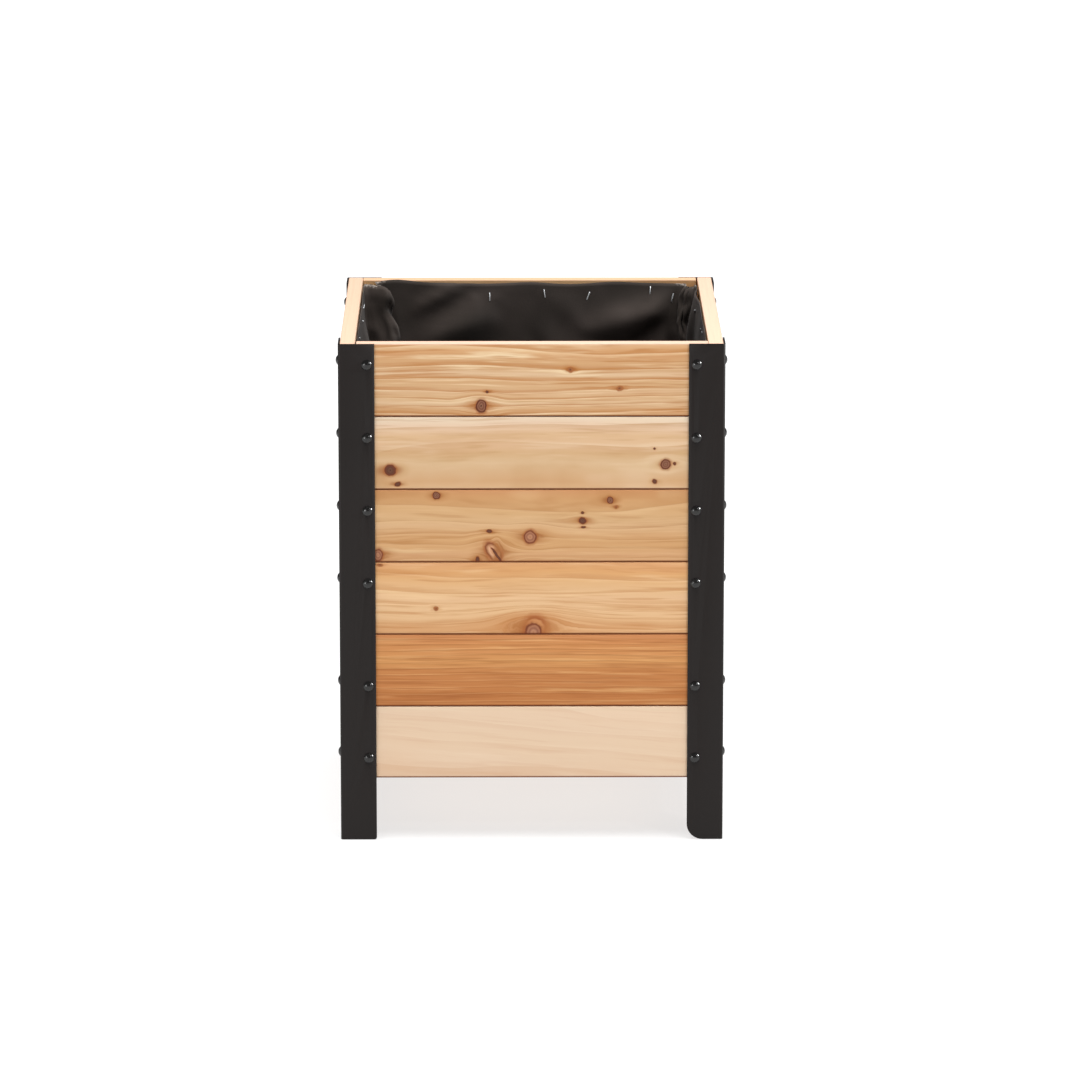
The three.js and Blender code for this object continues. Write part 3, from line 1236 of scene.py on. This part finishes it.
@dataclass
class Fasteners:
    """Carriage bolts through the legs and boards, each with a washer and a nut inside."""

    head_radius: float = 6.0 * MM
    head_height: float = 3.2 * MM
    head_rim: float = 0.5 * MM  # the upright part of the head's edge
    dome_rings: int = 9
    shank: float = 2.4 * MM  # radius
    neck: float = 2.4 * MM  # the length of the square neck
    length: float = 27.5 * MM  # under the head
    thread: float = 13.0 * MM  # the length of the thread
    pitch: float = 1.06 * MM
    thread_depth: float = 0.3 * MM
    washer: tuple[float, float, float] = (2.7 * MM, 6.0 * MM, 1.0 * MM)  # radii and thickness
    nut: tuple[float, float, float] = (2.45 * MM, 4.75 * MM, 4.0 * MM)  # hole, half its width, thickness
    chamfer: float = 0.55 * MM  # of the nut's corners
    lead_in: float = 0.35 * MM  # of the nut's hole
    soft: float = 0.15 * MM  # the rounding of the pressed edges
    steps: int = 24  # round a turned shape
    seed: int = 3

    def turned(self, profile: list[tuple[float, float]], closed: bool) -> BMesh:
        """Spins a profile about Y.

        Args:
            profile: Points as radius and place along Y, in metres.
            closed: Whether the last point joins the first, as on a ring.

        Returns:
            The turned solid.
        """
        bm = bmesh.new()
        verts = [bm.verts.new((radius, y, 0)) for radius, y in profile]
        pairs = list(zip(verts, verts[1:])) + ([(verts[-1], verts[0])] if closed else [])
        edges = [bm.edges.new(pair) for pair in pairs]
        bmesh.ops.spin(
            bm,
            geom=verts + edges,
            cent=(0, 0, 0),
            axis=(0, 1, 0),
            angle=2 * math.pi,
            steps=self.steps,
            use_merge=True,
        )
        bmesh.ops.remove_doubles(bm, verts=bm.verts, dist=TINY)
        bmesh.ops.recalc_face_normals(bm, faces=bm.faces)
        return bm

    def bolt_shape(self) -> BMesh:
        """A carriage bolt along Y.

        Returns:
            The bolt, with the underside of its head at the origin.
        """
        dome = self.head_height - self.head_rim
        radius = (self.head_radius**2 + dome**2) / (2 * dome)
        reach = math.asin(self.head_radius / radius)
        profile = []
        for ring in range(self.dome_rings + 1):
            angle = reach * ring / self.dome_rings
            profile.append((radius * math.sin(angle), radius * (1 - math.cos(angle)) - self.head_height))
        neck_end = self.neck + 0.01 * MM  # a step, so that the square neck ends flat
        profile += [
            (self.head_radius, -self.soft),
            (self.head_radius - self.soft, 0),
            (self.shank, 0),
            (self.shank, self.neck),
            (self.shank, neck_end),
            (self.shank, self.length - self.thread),
        ]
        turns = int(self.thread / self.pitch) - 1
        for turn in range(turns):
            y = self.length - self.thread + turn * self.pitch
            profile += [(self.shank - self.thread_depth, y + self.pitch / 2), (self.shank, y + self.pitch)]
        profile += [(self.shank - 2 * self.thread_depth, self.length), (0, self.length)]
        bm = self.turned(profile, closed=False)
        # The neck's round rings are pushed out to a square
        for vert in bm.verts:
            around = math.hypot(vert.co.x, vert.co.z)
            if -TINY <= vert.co.y <= self.neck + TINY and abs(around - self.shank) < TINY:
                grow = self.shank / max(abs(vert.co.x), abs(vert.co.z))
                vert.co.x *= grow
                vert.co.z *= grow
        return bm

    def washer_shape(self) -> BMesh:
        """A plain washer along Y.

        Returns:
            The washer, with its near face at the origin.
        """
        inner, outer, thick = self.washer
        return self.turned(
            [
                (inner, 0),
                (outer - self.soft, 0),
                (outer, self.soft),
                (outer, thick - self.soft),
                (outer - self.soft, thick),
                (inner, thick),
            ],
            closed=True,
        )

    def nut_shape(self) -> BMesh:
        """A hexagon nut along Y with chamfered corners.

        Returns:
            The nut, with its near face at the origin.
        """
        inner, flat, thick = self.nut
        rough = flat * 1.2  # the round blank, from which the six sides are pushed in
        bm = self.turned(
            [
                (inner + self.lead_in, 0),
                (flat, 0),
                (rough, self.chamfer),
                (rough, thick - self.chamfer),
                (flat, thick),
                (inner + self.lead_in, thick),
                (inner, thick - self.lead_in),
                (inner, self.lead_in),
            ],
            closed=True,
        )
        side = math.pi / 3
        for vert in bm.verts:
            around = math.hypot(vert.co.x, vert.co.z)
            if around > (flat + rough) / 2:
                angle = (math.atan2(vert.co.z, vert.co.x) + side / 2) % side - side / 2
                grow = flat / math.cos(angle) / around
                vert.co.x *= grow
                vert.co.z *= grow
        return bm

    def build(self, bolts: list[Fastening], black: Material, zinc: Material) -> None:
        """Makes every bolt, and the washers and nuts of each flange.

        Args:
            bolts: Every bolt of the planter.
            black: The bolts' finish.
            zinc: The finish of the washers and nuts.
        """
        rng = random.Random(self.seed)
        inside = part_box("board_front_1")[1][1]
        flanges: dict[tuple[Wall, int], list[tuple[Matrix, Matrix]]] = {}
        for bolt in bolts:
            turn = bolt.wall.turn.to_4x4()
            head = bolt.y + self.head_height
            place = turn @ Matrix.Translation((bolt.x, head, bolt.z))
            name = f"bolt_{bolt.wall.label}_{bolt.wall.end(bolt.side)}_{bolt.row}_domed"
            piece = copies(self.bolt_shape, [place], name, black)
            hand_over(piece, "black_bolt", [bolt.node] if bolt.node else [])
            spin = Matrix.Rotation(rng.uniform(0, math.pi), 4, "Y")
            washer = turn @ Matrix.Translation((bolt.x, inside, bolt.z)) @ spin
            nut = turn @ Matrix.Translation((bolt.x, inside + self.washer[2], bolt.z)) @ spin
            flanges.setdefault((bolt.wall, bolt.side), []).append((washer, nut))
        for (wall, side), places in flanges.items():
            label = f"{wall.label}_{wall.end(side)}"
            washers, nuts = zip(*places)
            hand_over(copies(self.washer_shape, washers, f"washers_{label}", zinc), "zinc_plate")
            hand_over(copies(self.nut_shape, nuts, f"nuts_{label}", zinc), "zinc_plate")


# Liner


@dataclass(frozen=True)
class Staple:
    """One staple, seen from inside the planter."""

    wall: Wall
    x: float  # along the wall from its middle, as on the front wall, mm
    depth: float  # of its middle under the rim, mm
    lean: float  # of its upper end towards the wall's left end, degrees

    def spot(self, reach: float) -> Vector:
        """Where it is, at a distance from the planter's middle, in metres."""
        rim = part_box("board_front_1")[1][2]
        return self.wall.turn @ Vector((self.x * MM, -reach, rim - self.depth * MM))


def staples(seed: int = 8) -> list[Staple]:
    """Every staple: five on each wall.

    Args:
        seed: Of the draws for the walls other than the back one.

    Returns:
        Those of the back wall at their own places, and the others evenly spaced with small differences.
    """
    placed = [
        Staple(Wall.BACK, 51, 21, 0),
        Staple(Wall.BACK, -18, 17, -7),
        Staple(Wall.BACK, -73, 20, 20),
        Staple(Wall.BACK, -151, 13, 4),
        Staple(Wall.BACK, -179, 22, 14),
    ]
    rng = random.Random(seed)
    for wall, lean in ((Wall.FRONT, 0), (Wall.RIGHT, 90), (Wall.LEFT, 90)):
        for x in (-158, -78, 0, 80, 160):
            lean_here = lean + rng.uniform(-12, 12)
            placed.append(Staple(wall, x + rng.uniform(-14, 14), rng.uniform(12, 23), lean_here))
    return placed


@dataclass(frozen=True)
class Pleat:
    """The spare cloth in one corner of the liner, which hangs in a loose fold."""

    reach: float  # of the fold at the rim, mm
    lean: float  # of the fold from the wall on the corner's left, degrees
    mouth: float = 14.0  # between its two sides, mm
    at_edge: float = 0.8  # its reach at the top edge, as a share of the full one
    full_at: float = 60.0  # how far under the top edge it reaches fully, mm
    pinch: float = 0.0  # how much it narrows just under the rim, as a share of its reach
    droop: float = 4.0  # how much lower its fold is at the top edge, mm
    dome: float = 0.0  # how far its side rises between the fold and the next wall, mm
    pinch_at: float = 30.0  # how far under the top edge it narrows most, mm
    pinch_over: float = 11.0  # how far above and under that it has mostly widened again, mm
    level_at: float = 25.0  # how far under the top edge the droop and the dome have mostly gone, mm

    def reach_at(self, height: float, depth: float) -> float:
        """How far it reaches at one level.

        Args:
            height: The level's height over the liner's floor, in metres.
            depth: How far the level is under the top edge.

        Returns:
            The reach in metres.
        """
        grown = self.at_edge + (1 - self.at_edge) * min(1.0, depth / (self.full_at * MM))
        off_pinch = (depth - self.pinch_at * MM) / (self.pinch_over * MM)
        narrowed = 1 - self.pinch * math.exp(-(off_pinch**2))
        return self.reach * MM * grown * narrowed * height / (height + depth)

    def lift(self, part: float, depth: float) -> float:
        """How far a point of it is raised.

        Args:
            part: How far round the corner the point is, from 0 to 1.
            depth: How far it is under the top edge, in metres.

        Returns:
            The height gained, in metres.
        """
        rounded = self.dome * math.sin(math.pi * max(0.0, 2 * part - 1))
        lowered = self.droop * min(1.0, 4 * part, 4 * (1 - part)) ** 0.5
        return (rounded - lowered) * MM * math.exp(-depth / (self.level_at * MM))


@dataclass(frozen=True)
class Bulge:
    """A place where the liner stands off its wall, in millimetres and degrees."""

    wall: Wall
    x: float  # along the wall from its middle, as on the front wall
    z: float
    length: float  # from its middle to where it has mostly gone, along its ridge
    width: float
    depth: float
    tilt: float = 0.0  # of its ridge, upwards towards the wall's right end
    rise: float = 0.0  # how far it lifts the cloth
    beyond: float = 190.0  # how far from the planter's middle the cloth that it moves starts

    def push(self, place: Vector) -> Vector:
        """How far it moves a point of the liner.

        Args:
            place: The point, in metres.

        Returns:
            The way inwards and upwards.
        """
        local = self.wall.turn.transposed() @ place
        if local.y > -self.beyond * MM:
            return Vector((0, 0, 0))
        away = Vector((local.x / MM - self.x, local.z / MM - self.z))
        offset = Matrix.Rotation(math.radians(-self.tilt), 2) @ away
        fade = math.exp(-((offset.x / self.length) ** 2) - (offset.y / self.width) ** 2)
        return self.wall.turn @ Vector((0, self.depth * MM * fade, self.rise * MM * fade))


def bulges(seed: int = 21) -> list[Bulge]:
    """The liner's larger bulges.

    Args:
        seed: Of the draws for the walls other than the back one.

    Returns:
        Those of the back wall at their own places, and four on each other wall.
    """
    placed = [
        Bulge(Wall.BACK, 92, 549, 60, 22, 15, -22),
        Bulge(Wall.BACK, -122, 556, 50, 25, 16, -20),
        Bulge(Wall.BACK, -156, 574, 24, 13, 6, -41),
        Bulge(Wall.BACK, -20, 536, 60, 42, 8),
        Bulge(Wall.BACK, 30, 380, 110, 70, 16, 20),
        Bulge(Wall.BACK, -90, 290, 90, 60, 14, -30),
        Bulge(Wall.BACK, 172, 602, 34, 30, 0, rise=6),
        Bulge(Wall.BACK, 114, 591, 36, 10, 7, -26),
    ]
    rng = random.Random(seed)
    for wall in (Wall.FRONT, Wall.RIGHT, Wall.LEFT):
        for height in (550, 470, 360, 240):
            size, tilt = rng.uniform(50, 90), rng.uniform(-60, 60)
            x, depth = rng.uniform(-130, 130), rng.uniform(8, 17)
            placed.append(Bulge(wall, x, height, size, size / 2, depth, tilt))
    return placed


@dataclass
class Liner:
    """A landscape fabric bag that lines the box. It lies on the slats and is stapled near the rim.

    It is cut a little too large and has spare cloth in its corners. A cloth simulation lets it settle
    between the walls, held by its staples, which gives it its bulges and folds.
    """

    held_by: list[Staple]
    cell: float = 9.0 * MM  # between two points of the cloth
    thickness: float = 0.8 * MM
    clear: float = 1.6 * MM  # between its node's sides and the cloth before it settles
    corner: float = 32.0 * MM  # how far from the corner it leaves each wall, to clear the nuts
    corner_at_edge: float = 13.0 * MM  # and at its top edge, which is above them
    corner_over: float = 60.0 * MM  # how far under the edge the corner is cut fully
    # How far out the floor's rings of points lie, as shares of its width
    floor_rings: tuple[float, ...] = (0.12, 0.25, 0.38, 0.5, 0.6, 0.69, 0.77, 0.84, 0.9, 0.95)
    folds: int = 14  # steps round one corner
    spare: float = 0.12  # how much too large the cloth is in its pleats, as a share of its length
    spare_on_walls: float = 0.2  # as a share of that in the pleats
    edge_hold: float = 0.68  # how firmly the stiff top edge keeps its place
    over: float = 0.8 * MM  # how much higher than its node the top edge starts, because the cloth sinks
    waver: float = 5.0 * MM  # of the top edge, up and down
    waves: float = 13.0  # of that in a metre
    pleat_from: float = 0.15  # how far from the middle, both ways, a pleat's spare cloth starts, in metres
    fray_from: float = 0.185  # the same for the cut edge's fraying in a corner
    fine_above: float = 0.42  # the height over which the cloth may be seen, in metres
    frames: int = 36
    pleats: tuple[Pleat, ...] = (
        Pleat(36, 60, mouth=18),
        Pleat(44, 58, mouth=26, at_edge=0.05, full_at=85.0),
        Pleat(45, 40, mouth=34, at_edge=0.76, full_at=65.0, pinch=0.32, droop=9, dome=10),
        Pleat(38, 110, mouth=20, at_edge=0.6),
    )

    def level(self, height: float, depth: float, half: float, steps: int) -> list[Vector]:
        """One level of the bag, seen from above and followed from the left end of the front wall.

        Args:
            height: How high it is over the bag's floor, in metres.
            depth: How far it is under the top edge.
            half: Half the bag's width.
            steps: The steps along each wall.

        Returns:
            Its points, in a closed ring, as they lie on the level or above it.
        """
        points = []
        # Under the edge the corner widens fast at first and then more and more slowly
        widened = min(1.0, depth / self.corner_over) ** 0.6
        cut = self.corner_at_edge + (self.corner - self.corner_at_edge) * widened
        for wall, pleat in zip(Wall, self.pleats):
            start, end = Vector((cut - half, -half, 0)), Vector((half - cut, -half, 0))
            after = Vector((half, cut - half, 0))
            ring = [start.lerp(end, step / steps) for step in range(steps)]
            angle = math.radians(pleat.lean)
            push = Vector((-math.cos(angle), math.sin(angle), 0)) * pleat.reach_at(height, depth)
            middle = end.lerp(after, 0.5)
            narrow = min(1.0, pleat.mouth * MM / (after - end).length)
            rise = height / (height + depth)  # 0 on the floor and 1 at the edge
            for step in range(self.folds):
                part = step / self.folds
                point = end.lerp(after, part)
                along = 1 - abs(2 * part - 1) ** 2.2  # 0 at both walls and 1 on the fold, which is round
                point = point.lerp(middle + (point - middle) * narrow, rise * min(1.0, 1.6 * along))
                ring.append(point + push * along + Vector((0, 0, pleat.lift(part, depth))))
            points += [wall.turn @ point for point in ring]
        return points

    def shape(self) -> BMesh:
        """The bag before it settles.

        Returns:
            A single layer of cloth, whose first point lies on its floor.
        """
        low, high = (Vector(corner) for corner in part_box("liner"))
        half = high.x - self.clear
        bottom, top = low.z + self.thickness, high.z + self.over
        steps = round(2 * (half - self.corner) / self.cell)
        rings = round((top - bottom) / self.cell)
        bm = bmesh.new()
        layers = []
        for shrink in self.floor_rings:
            outline = self.level(0, top - bottom, half, steps)
            layers.append([Vector((point.x * shrink, point.y * shrink, bottom)) for point in outline])
        for ring in range(rings + 1):
            height = (top - bottom) * ring / rings
            outline = self.level(height, top - bottom - height, half, steps)
            layers.append([point + Vector((0, 0, bottom + height)) for point in outline])
        grid = [[bm.verts.new(point) for point in layer] for layer in layers]
        bm.faces.new(grid[0])
        for lower, upper in zip(grid, grid[1:]):
            for i, vert in enumerate(lower):
                bm.faces.new((lower[i - 1], vert, upper[i], upper[i - 1]))
        placed = bulges()
        for vert in bm.verts:
            if vert.co.z > bottom + MM:
                for bulge in placed:
                    vert.co += bulge.push(vert.co)
                height = vert.co.z - bottom
                vert.co.z += self.waver * noise.noise(vert.co * self.waves) * height / (top - bottom)
        bmesh.ops.recalc_face_normals(bm, faces=bm.faces)
        return bm

    def room(self) -> list[Object]:
        """The walls and the floor that the cloth must not pass.

        Returns:
            Plain blocks of a few centimetres' thickness, which are taken away afterwards.
        """
        reach = -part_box("board_front_1")[1][1]
        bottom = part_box("liner")[0][2]
        wide, deep, tall = 1.0, 0.06, 0.7
        height = 0.3  # of the walls' middles over the floor, so that they end under it and over the rim
        spans = [((0, 0, bottom - deep / 2), (wide, wide, deep))]
        for wall in Wall:
            middle = wall.turn @ Vector((0, -reach - deep / 2, bottom + height))
            size = (wide, deep, tall) if wall in (Wall.FRONT, Wall.BACK) else (deep, wide, tall)
            spans.append((middle, size))
        blocks = []
        for middle, size in spans:
            bm = bmesh.new()
            bmesh.ops.create_cube(bm, size=1.0)
            bmesh.ops.scale(bm, vec=size, verts=bm.verts)
            bmesh.ops.translate(bm, vec=middle, verts=bm.verts)
            mesh = bpy.data.meshes.new("block")
            bm.to_mesh(mesh)
            bm.free()
            block = bpy.data.objects.new("block", mesh)
            bpy.context.scene.collection.objects.link(block)
            block.modifiers.new("collision", "COLLISION")
            block.collision.thickness_outer = 0.5 * MM
            block.collision.cloth_friction = 8.0
            blocks.append(block)
        return blocks

    def settle(self, piece: Object) -> None:
        """Runs the cloth simulation and keeps the shape it ends in.

        Args:
            piece: The bag, as one layer.
        """
        bottom, top = piece.data.vertices[0].co.z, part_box("liner")[1][2]
        spots = [staple.spot(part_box("liner")[1][0]) for staple in self.held_by]
        held = piece.vertex_groups.new(name="held")
        spare = piece.vertex_groups.new(name="spare")
        for vert in piece.data.vertices:
            # The spare cloth fades out over the three rows of points under the top edge
            under_edge = min(1.0, max(0.0, (top - vert.co.z) / (3 * self.cell)))
            in_pleat = min(abs(vert.co.x), abs(vert.co.y)) > self.pleat_from
            spare.add([vert.index], under_edge * (1.0 if in_pleat else self.spare_on_walls), "REPLACE")
            # The floor and the points at the staples stay, and the top two rows of points are held softly
            weight = 0.0
            if vert.co.z > top - 1.5 * self.cell:
                weight = self.edge_hold
            stapled = any((vert.co - spot).length < 1.25 * self.cell for spot in spots)
            if stapled or vert.co.z < bottom + 0.1 * MM:
                weight = 1.0
            held.add([vert.index], weight, "REPLACE")
        cloth = piece.modifiers.new("cloth", "CLOTH")
        fabric, touch = cloth.settings, cloth.collision_settings
        fabric.quality = 6
        fabric.mass = 0.08
        fabric.air_damping = 3.0
        fabric.tension_stiffness = 30
        fabric.compression_stiffness = 30
        fabric.shear_stiffness = 12
        fabric.bending_stiffness = 4.0
        fabric.vertex_group_mass = "held"
        fabric.pin_stiffness = 1.0
        fabric.vertex_group_shrink = "spare"
        fabric.shrink_min = 0.0
        fabric.shrink_max = -self.spare
        touch.collision_quality = 3
        touch.distance_min = 0.9 * MM
        touch.use_self_collision = True
        touch.self_distance_min = 1.6 * MM
        cloth.point_cache.frame_end = self.frames
        blocks = self.room()
        scene = bpy.context.scene
        for frame_number in range(1, self.frames + 1):
            scene.frame_set(frame_number)
        apply_modifiers(piece)
        scene.frame_set(1)
        for block in blocks:
            mesh = block.data
            bpy.data.objects.remove(block)
            bpy.data.meshes.remove(mesh)

    def fray(self, piece: Object) -> None:
        """Marks the cut edge of the cloth for its material, most of all in the corners.

        Args:
            piece: The bag, before it settles.
        """
        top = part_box("liner")[1][2]
        shares = []
        for vert in piece.data.vertices:
            at_edge = vert.co.z > top - 0.5 * self.cell
            in_corner = min(abs(vert.co.x), abs(vert.co.y)) > self.fray_from
            shares.append(at_edge * (1.0 if in_corner else 0.15))
        piece.data.attributes.new("fray", "FLOAT", "POINT").data.foreach_set("value", shares)

    def refine(self, piece: Object) -> None:
        """Makes the part that is seen over the rim twice as fine, and keeps the cloth inside the walls.

        Args:
            piece: The settled bag.
        """
        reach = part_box("liner")[1][0] - self.thickness
        bm = bmesh.new()
        bm.from_mesh(piece.data)
        seen = [e for e in bm.edges if min(v.co.z for v in e.verts) > self.fine_above]
        bmesh.ops.subdivide_edges(bm, edges=seen, cuts=1, smooth=1.0, use_grid_fill=True)
        for vert in bm.verts:
            vert.co.x = max(-reach, min(reach, vert.co.x))
            vert.co.y = max(-reach, min(reach, vert.co.y))
        bm.to_mesh(piece.data)
        bm.free()
        piece.vertex_groups.clear()

    def build(self, material: Material) -> Object:
        """Makes the liner.

        Args:
            material: The fabric.

        Returns:
            The liner.
        """
        piece = place_mesh(self.shape(), "liner_stapled_fabric", material, 180)
        self.fray(piece)
        self.settle(piece)
        self.refine(piece)
        thicken = piece.modifiers.new("thickness", "SOLIDIFY")
        thicken.thickness = self.thickness
        thicken.offset = 0
        apply_modifiers(piece)
        piece.data.shade_smooth()
        hand_over(piece, "landscape_fabric", ["liner"])
        return piece


@dataclass
class Staples:
    """Wire staples that hold the top of the liner to the walls."""

    crown: float = 10.5 * MM
    leg: float = 2.8 * MM  # as far as the wood, where the rest of it goes in
    wire: float = 0.5 * MM
    flatness: float = 1.4  # the flat wire's width, as a share of its thickness
    bend: float = 0.9 * MM

    def shape(self) -> BMesh:
        """One staple, drawn out from the end of one leg to the end of the other.

        Returns:
            The staple, with its crown upright at Y 0 and its legs along -Y.
        """
        bm = bmesh.new()
        reach = self.crown / 2 - self.bend
        ring = bmesh.ops.create_circle(bm, cap_ends=True, segments=8, radius=self.wire)
        move = Matrix.Translation((0, -self.leg, reach + self.bend)) @ Matrix.Rotation(QUARTER_TURN, 4, "X")
        bmesh.ops.transform(bm, matrix=move, verts=ring["verts"])
        face = bm.faces[:]
        # Each step is a bend round a centre or a straight push
        steps = (
            (None, (0, self.leg - self.bend, 0)),
            ((0, -self.bend, reach), None),
            (None, (0, 0, -2 * reach)),
            ((0, -self.bend, -reach), None),
            (None, (0, self.bend - self.leg, 0)),
        )
        for count, (bend, push) in enumerate(steps):
            if push:
                grown = bmesh.ops.extrude_face_region(bm, geom=face)["geom"]
                verts = [item for item in grown if isinstance(item, BMVert)]
                bmesh.ops.translate(bm, vec=push, verts=verts)
            else:
                grown = bmesh.ops.spin(
                    bm, geom=face, cent=bend, axis=(-1, 0, 0), angle=QUARTER_TURN, steps=4, use_merge=False
                )["geom_last"]
            if count:
                bmesh.ops.delete(bm, geom=face, context="FACES_ONLY")
            face = [item for item in grown if isinstance(item, BMFace)]
        bmesh.ops.scale(bm, vec=(self.flatness, 1, 1), verts=bm.verts)
        bmesh.ops.recalc_face_normals(bm, faces=bm.faces)
        return bm

    def build(self, placed: list[Staple], liner: Object, material: Material) -> None:
        """Makes the staples, as one piece for each wall.

        Args:
            placed: Where they are.
            liner: The liner, on which their crowns lie.
            material: Their finish.
        """
        wood = -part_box("board_front_1")[1][1]
        for wall in Wall:
            places = []
            outwards = wall.turn @ Vector((0, -1, 0))
            for staple in placed:
                if staple.wall is wall:
                    hit, touched, _, _ = liner.ray_cast(staple.spot(0.1), outwards)
                    cloth = touched.dot(outwards) if hit else wood - self.leg
                    reach = min(cloth, wood - 1 * MM) - self.wire
                    longer = Matrix.Diagonal((1, (wood - reach) / self.leg, 1, 1))
                    lean = Matrix.Rotation(math.radians(-staple.lean), 4, "Y")
                    turn = wall.turn.to_4x4() @ lean @ longer
                    places.append(Matrix.Translation(staple.spot(reach)) @ turn)
            hand_over(copies(self.shape, places, f"staples_{wall.label}", material), "zinc_plate")


# Studio


@dataclass
class Studio:
    """A pale floor, soft light from above and in front, and the camera."""

    target: tuple[float, float, float] = (0.0112, 0.0, 0.3203)
    distance: float = 7.574  # from the camera to the target, in metres
    pitch: float = 12.36  # how far the camera looks down, degrees
    yaw: float = 0.32  # how far it looks to the right, degrees
    lens: float = 204.2  # mm
    sensor: float = 36.0  # mm
    aim: tuple[float, float, float] = (0.0, 0.0, 0.35)  # of the lamps

    def build(self) -> None:
        """Sets up the floor, the lights, the world and the camera."""
        self.floor()
        self.lights()
        self.camera()

    def floor(self) -> None:
        """A wide matt floor."""
        material, _, shader = new_material("pale_studio_light_table")
        shader.inputs["Base Color"].default_value = linear("#8a8a8a")
        shader.inputs["Emission Color"].default_value = linear("#ffffff")
        shader.inputs["Emission Strength"].default_value = 0.72
        shader.inputs["Roughness"].default_value = 0.9
        shader.inputs["Specular IOR Level"].default_value = 0.0
        bm = bmesh.new()
        bmesh.ops.create_circle(bm, cap_ends=True, segments=64, radius=60.0)
        bmesh.ops.translate(bm, vec=(0, 0, -0.5 * MM), verts=bm.verts)
        place_mesh(bm, "studio_floor", material)

    def lights(self) -> None:
        """A wide light overhead, a key at the front right, a fill at the front left and a pale world.

        The two windows are seen only in reflections: they are the lights on each bolt's head.
        """
        scene = bpy.context.scene
        sun = bpy.data.lights.new("overhead", "SUN")
        sun.energy = 5.8
        sun.angle = math.radians(55)
        lamp = bpy.data.objects.new("overhead", sun)
        lamp.rotation_euler = (math.radians(4), math.radians(3), 0)
        lamp.visible_glossy = False
        scene.collection.objects.link(lamp)
        for name, place, size, power, mirrored_only in (
            ("key", (2.3, -2.8, 2.5), 0.4, 20.0, False),
            ("fill", (-2.8, -2.9, 0.8), 0.35, 7.0, False),
            ("window", (3.7, -0.7, 2.1), 1.0, 300.0, True),
            ("far_window", (-2.8, -2.9, 0.7), 1.2, 40.0, True),
        ):
            light = bpy.data.lights.new(name, "AREA")
            light.energy = power
            light.size = size
            lamp = bpy.data.objects.new(name, light)
            lamp.location = place
            ahead = Vector(self.aim) - Vector(place)
            lamp.rotation_euler = ahead.to_track_quat("-Z", "Y").to_euler()
            lamp.visible_diffuse = not mirrored_only
            scene.collection.objects.link(lamp)
        world = bpy.data.worlds.new("studio")
        world.use_nodes = True
        background = world.node_tree.nodes["Background"]
        background.inputs["Color"].default_value = linear("#f4f4f6")
        background.inputs["Strength"].default_value = 0.15
        scene.world = world
        scene.view_settings.view_transform = "Standard"
        scene.view_settings.look = "None"

    def camera(self) -> None:
        """A long lens at the front, a little above the rim."""
        pitch, yaw = math.radians(self.pitch), math.radians(self.yaw)
        level = math.cos(pitch)
        ahead = Vector((math.sin(yaw) * level, math.cos(yaw) * level, -math.sin(pitch)))
        data = bpy.data.cameras.new("camera")
        data.lens = self.lens
        data.sensor_width = self.sensor
        data.clip_end = 200.0
        camera = bpy.data.objects.new("camera", data)
        camera.location = Vector(self.target) - ahead * self.distance
        camera.rotation_euler = (QUARTER_TURN - pitch, 0, -yaw)
        bpy.context.scene.collection.objects.link(camera)
        bpy.context.scene.camera = camera


def main() -> None:
    """Builds the studio and the planter."""
    logging.basicConfig(level=logging.INFO, format="%(name)s: %(message)s")
    Studio().build()
    bolts = fastenings()
    Walls(bolts).build()
    Floor().build()
    CornerLegs().build(bolts, PowderCoat().material())
    Fasteners().build(bolts, BlackBoltFinish().material(), ZincPlate().material())
    held_by = staples()
    liner = Liner(held_by).build(LandscapeFabric().material())
    wire = ZincPlate(
        "dull_galvanised_drawn_wire", colour="#dcdee0", cloud="#c3c6c9", roughness=0.42, metallic=0.5
    )
    Staples().build(held_by, liner, wire.material())


if __name__ == "__main__":
    main()
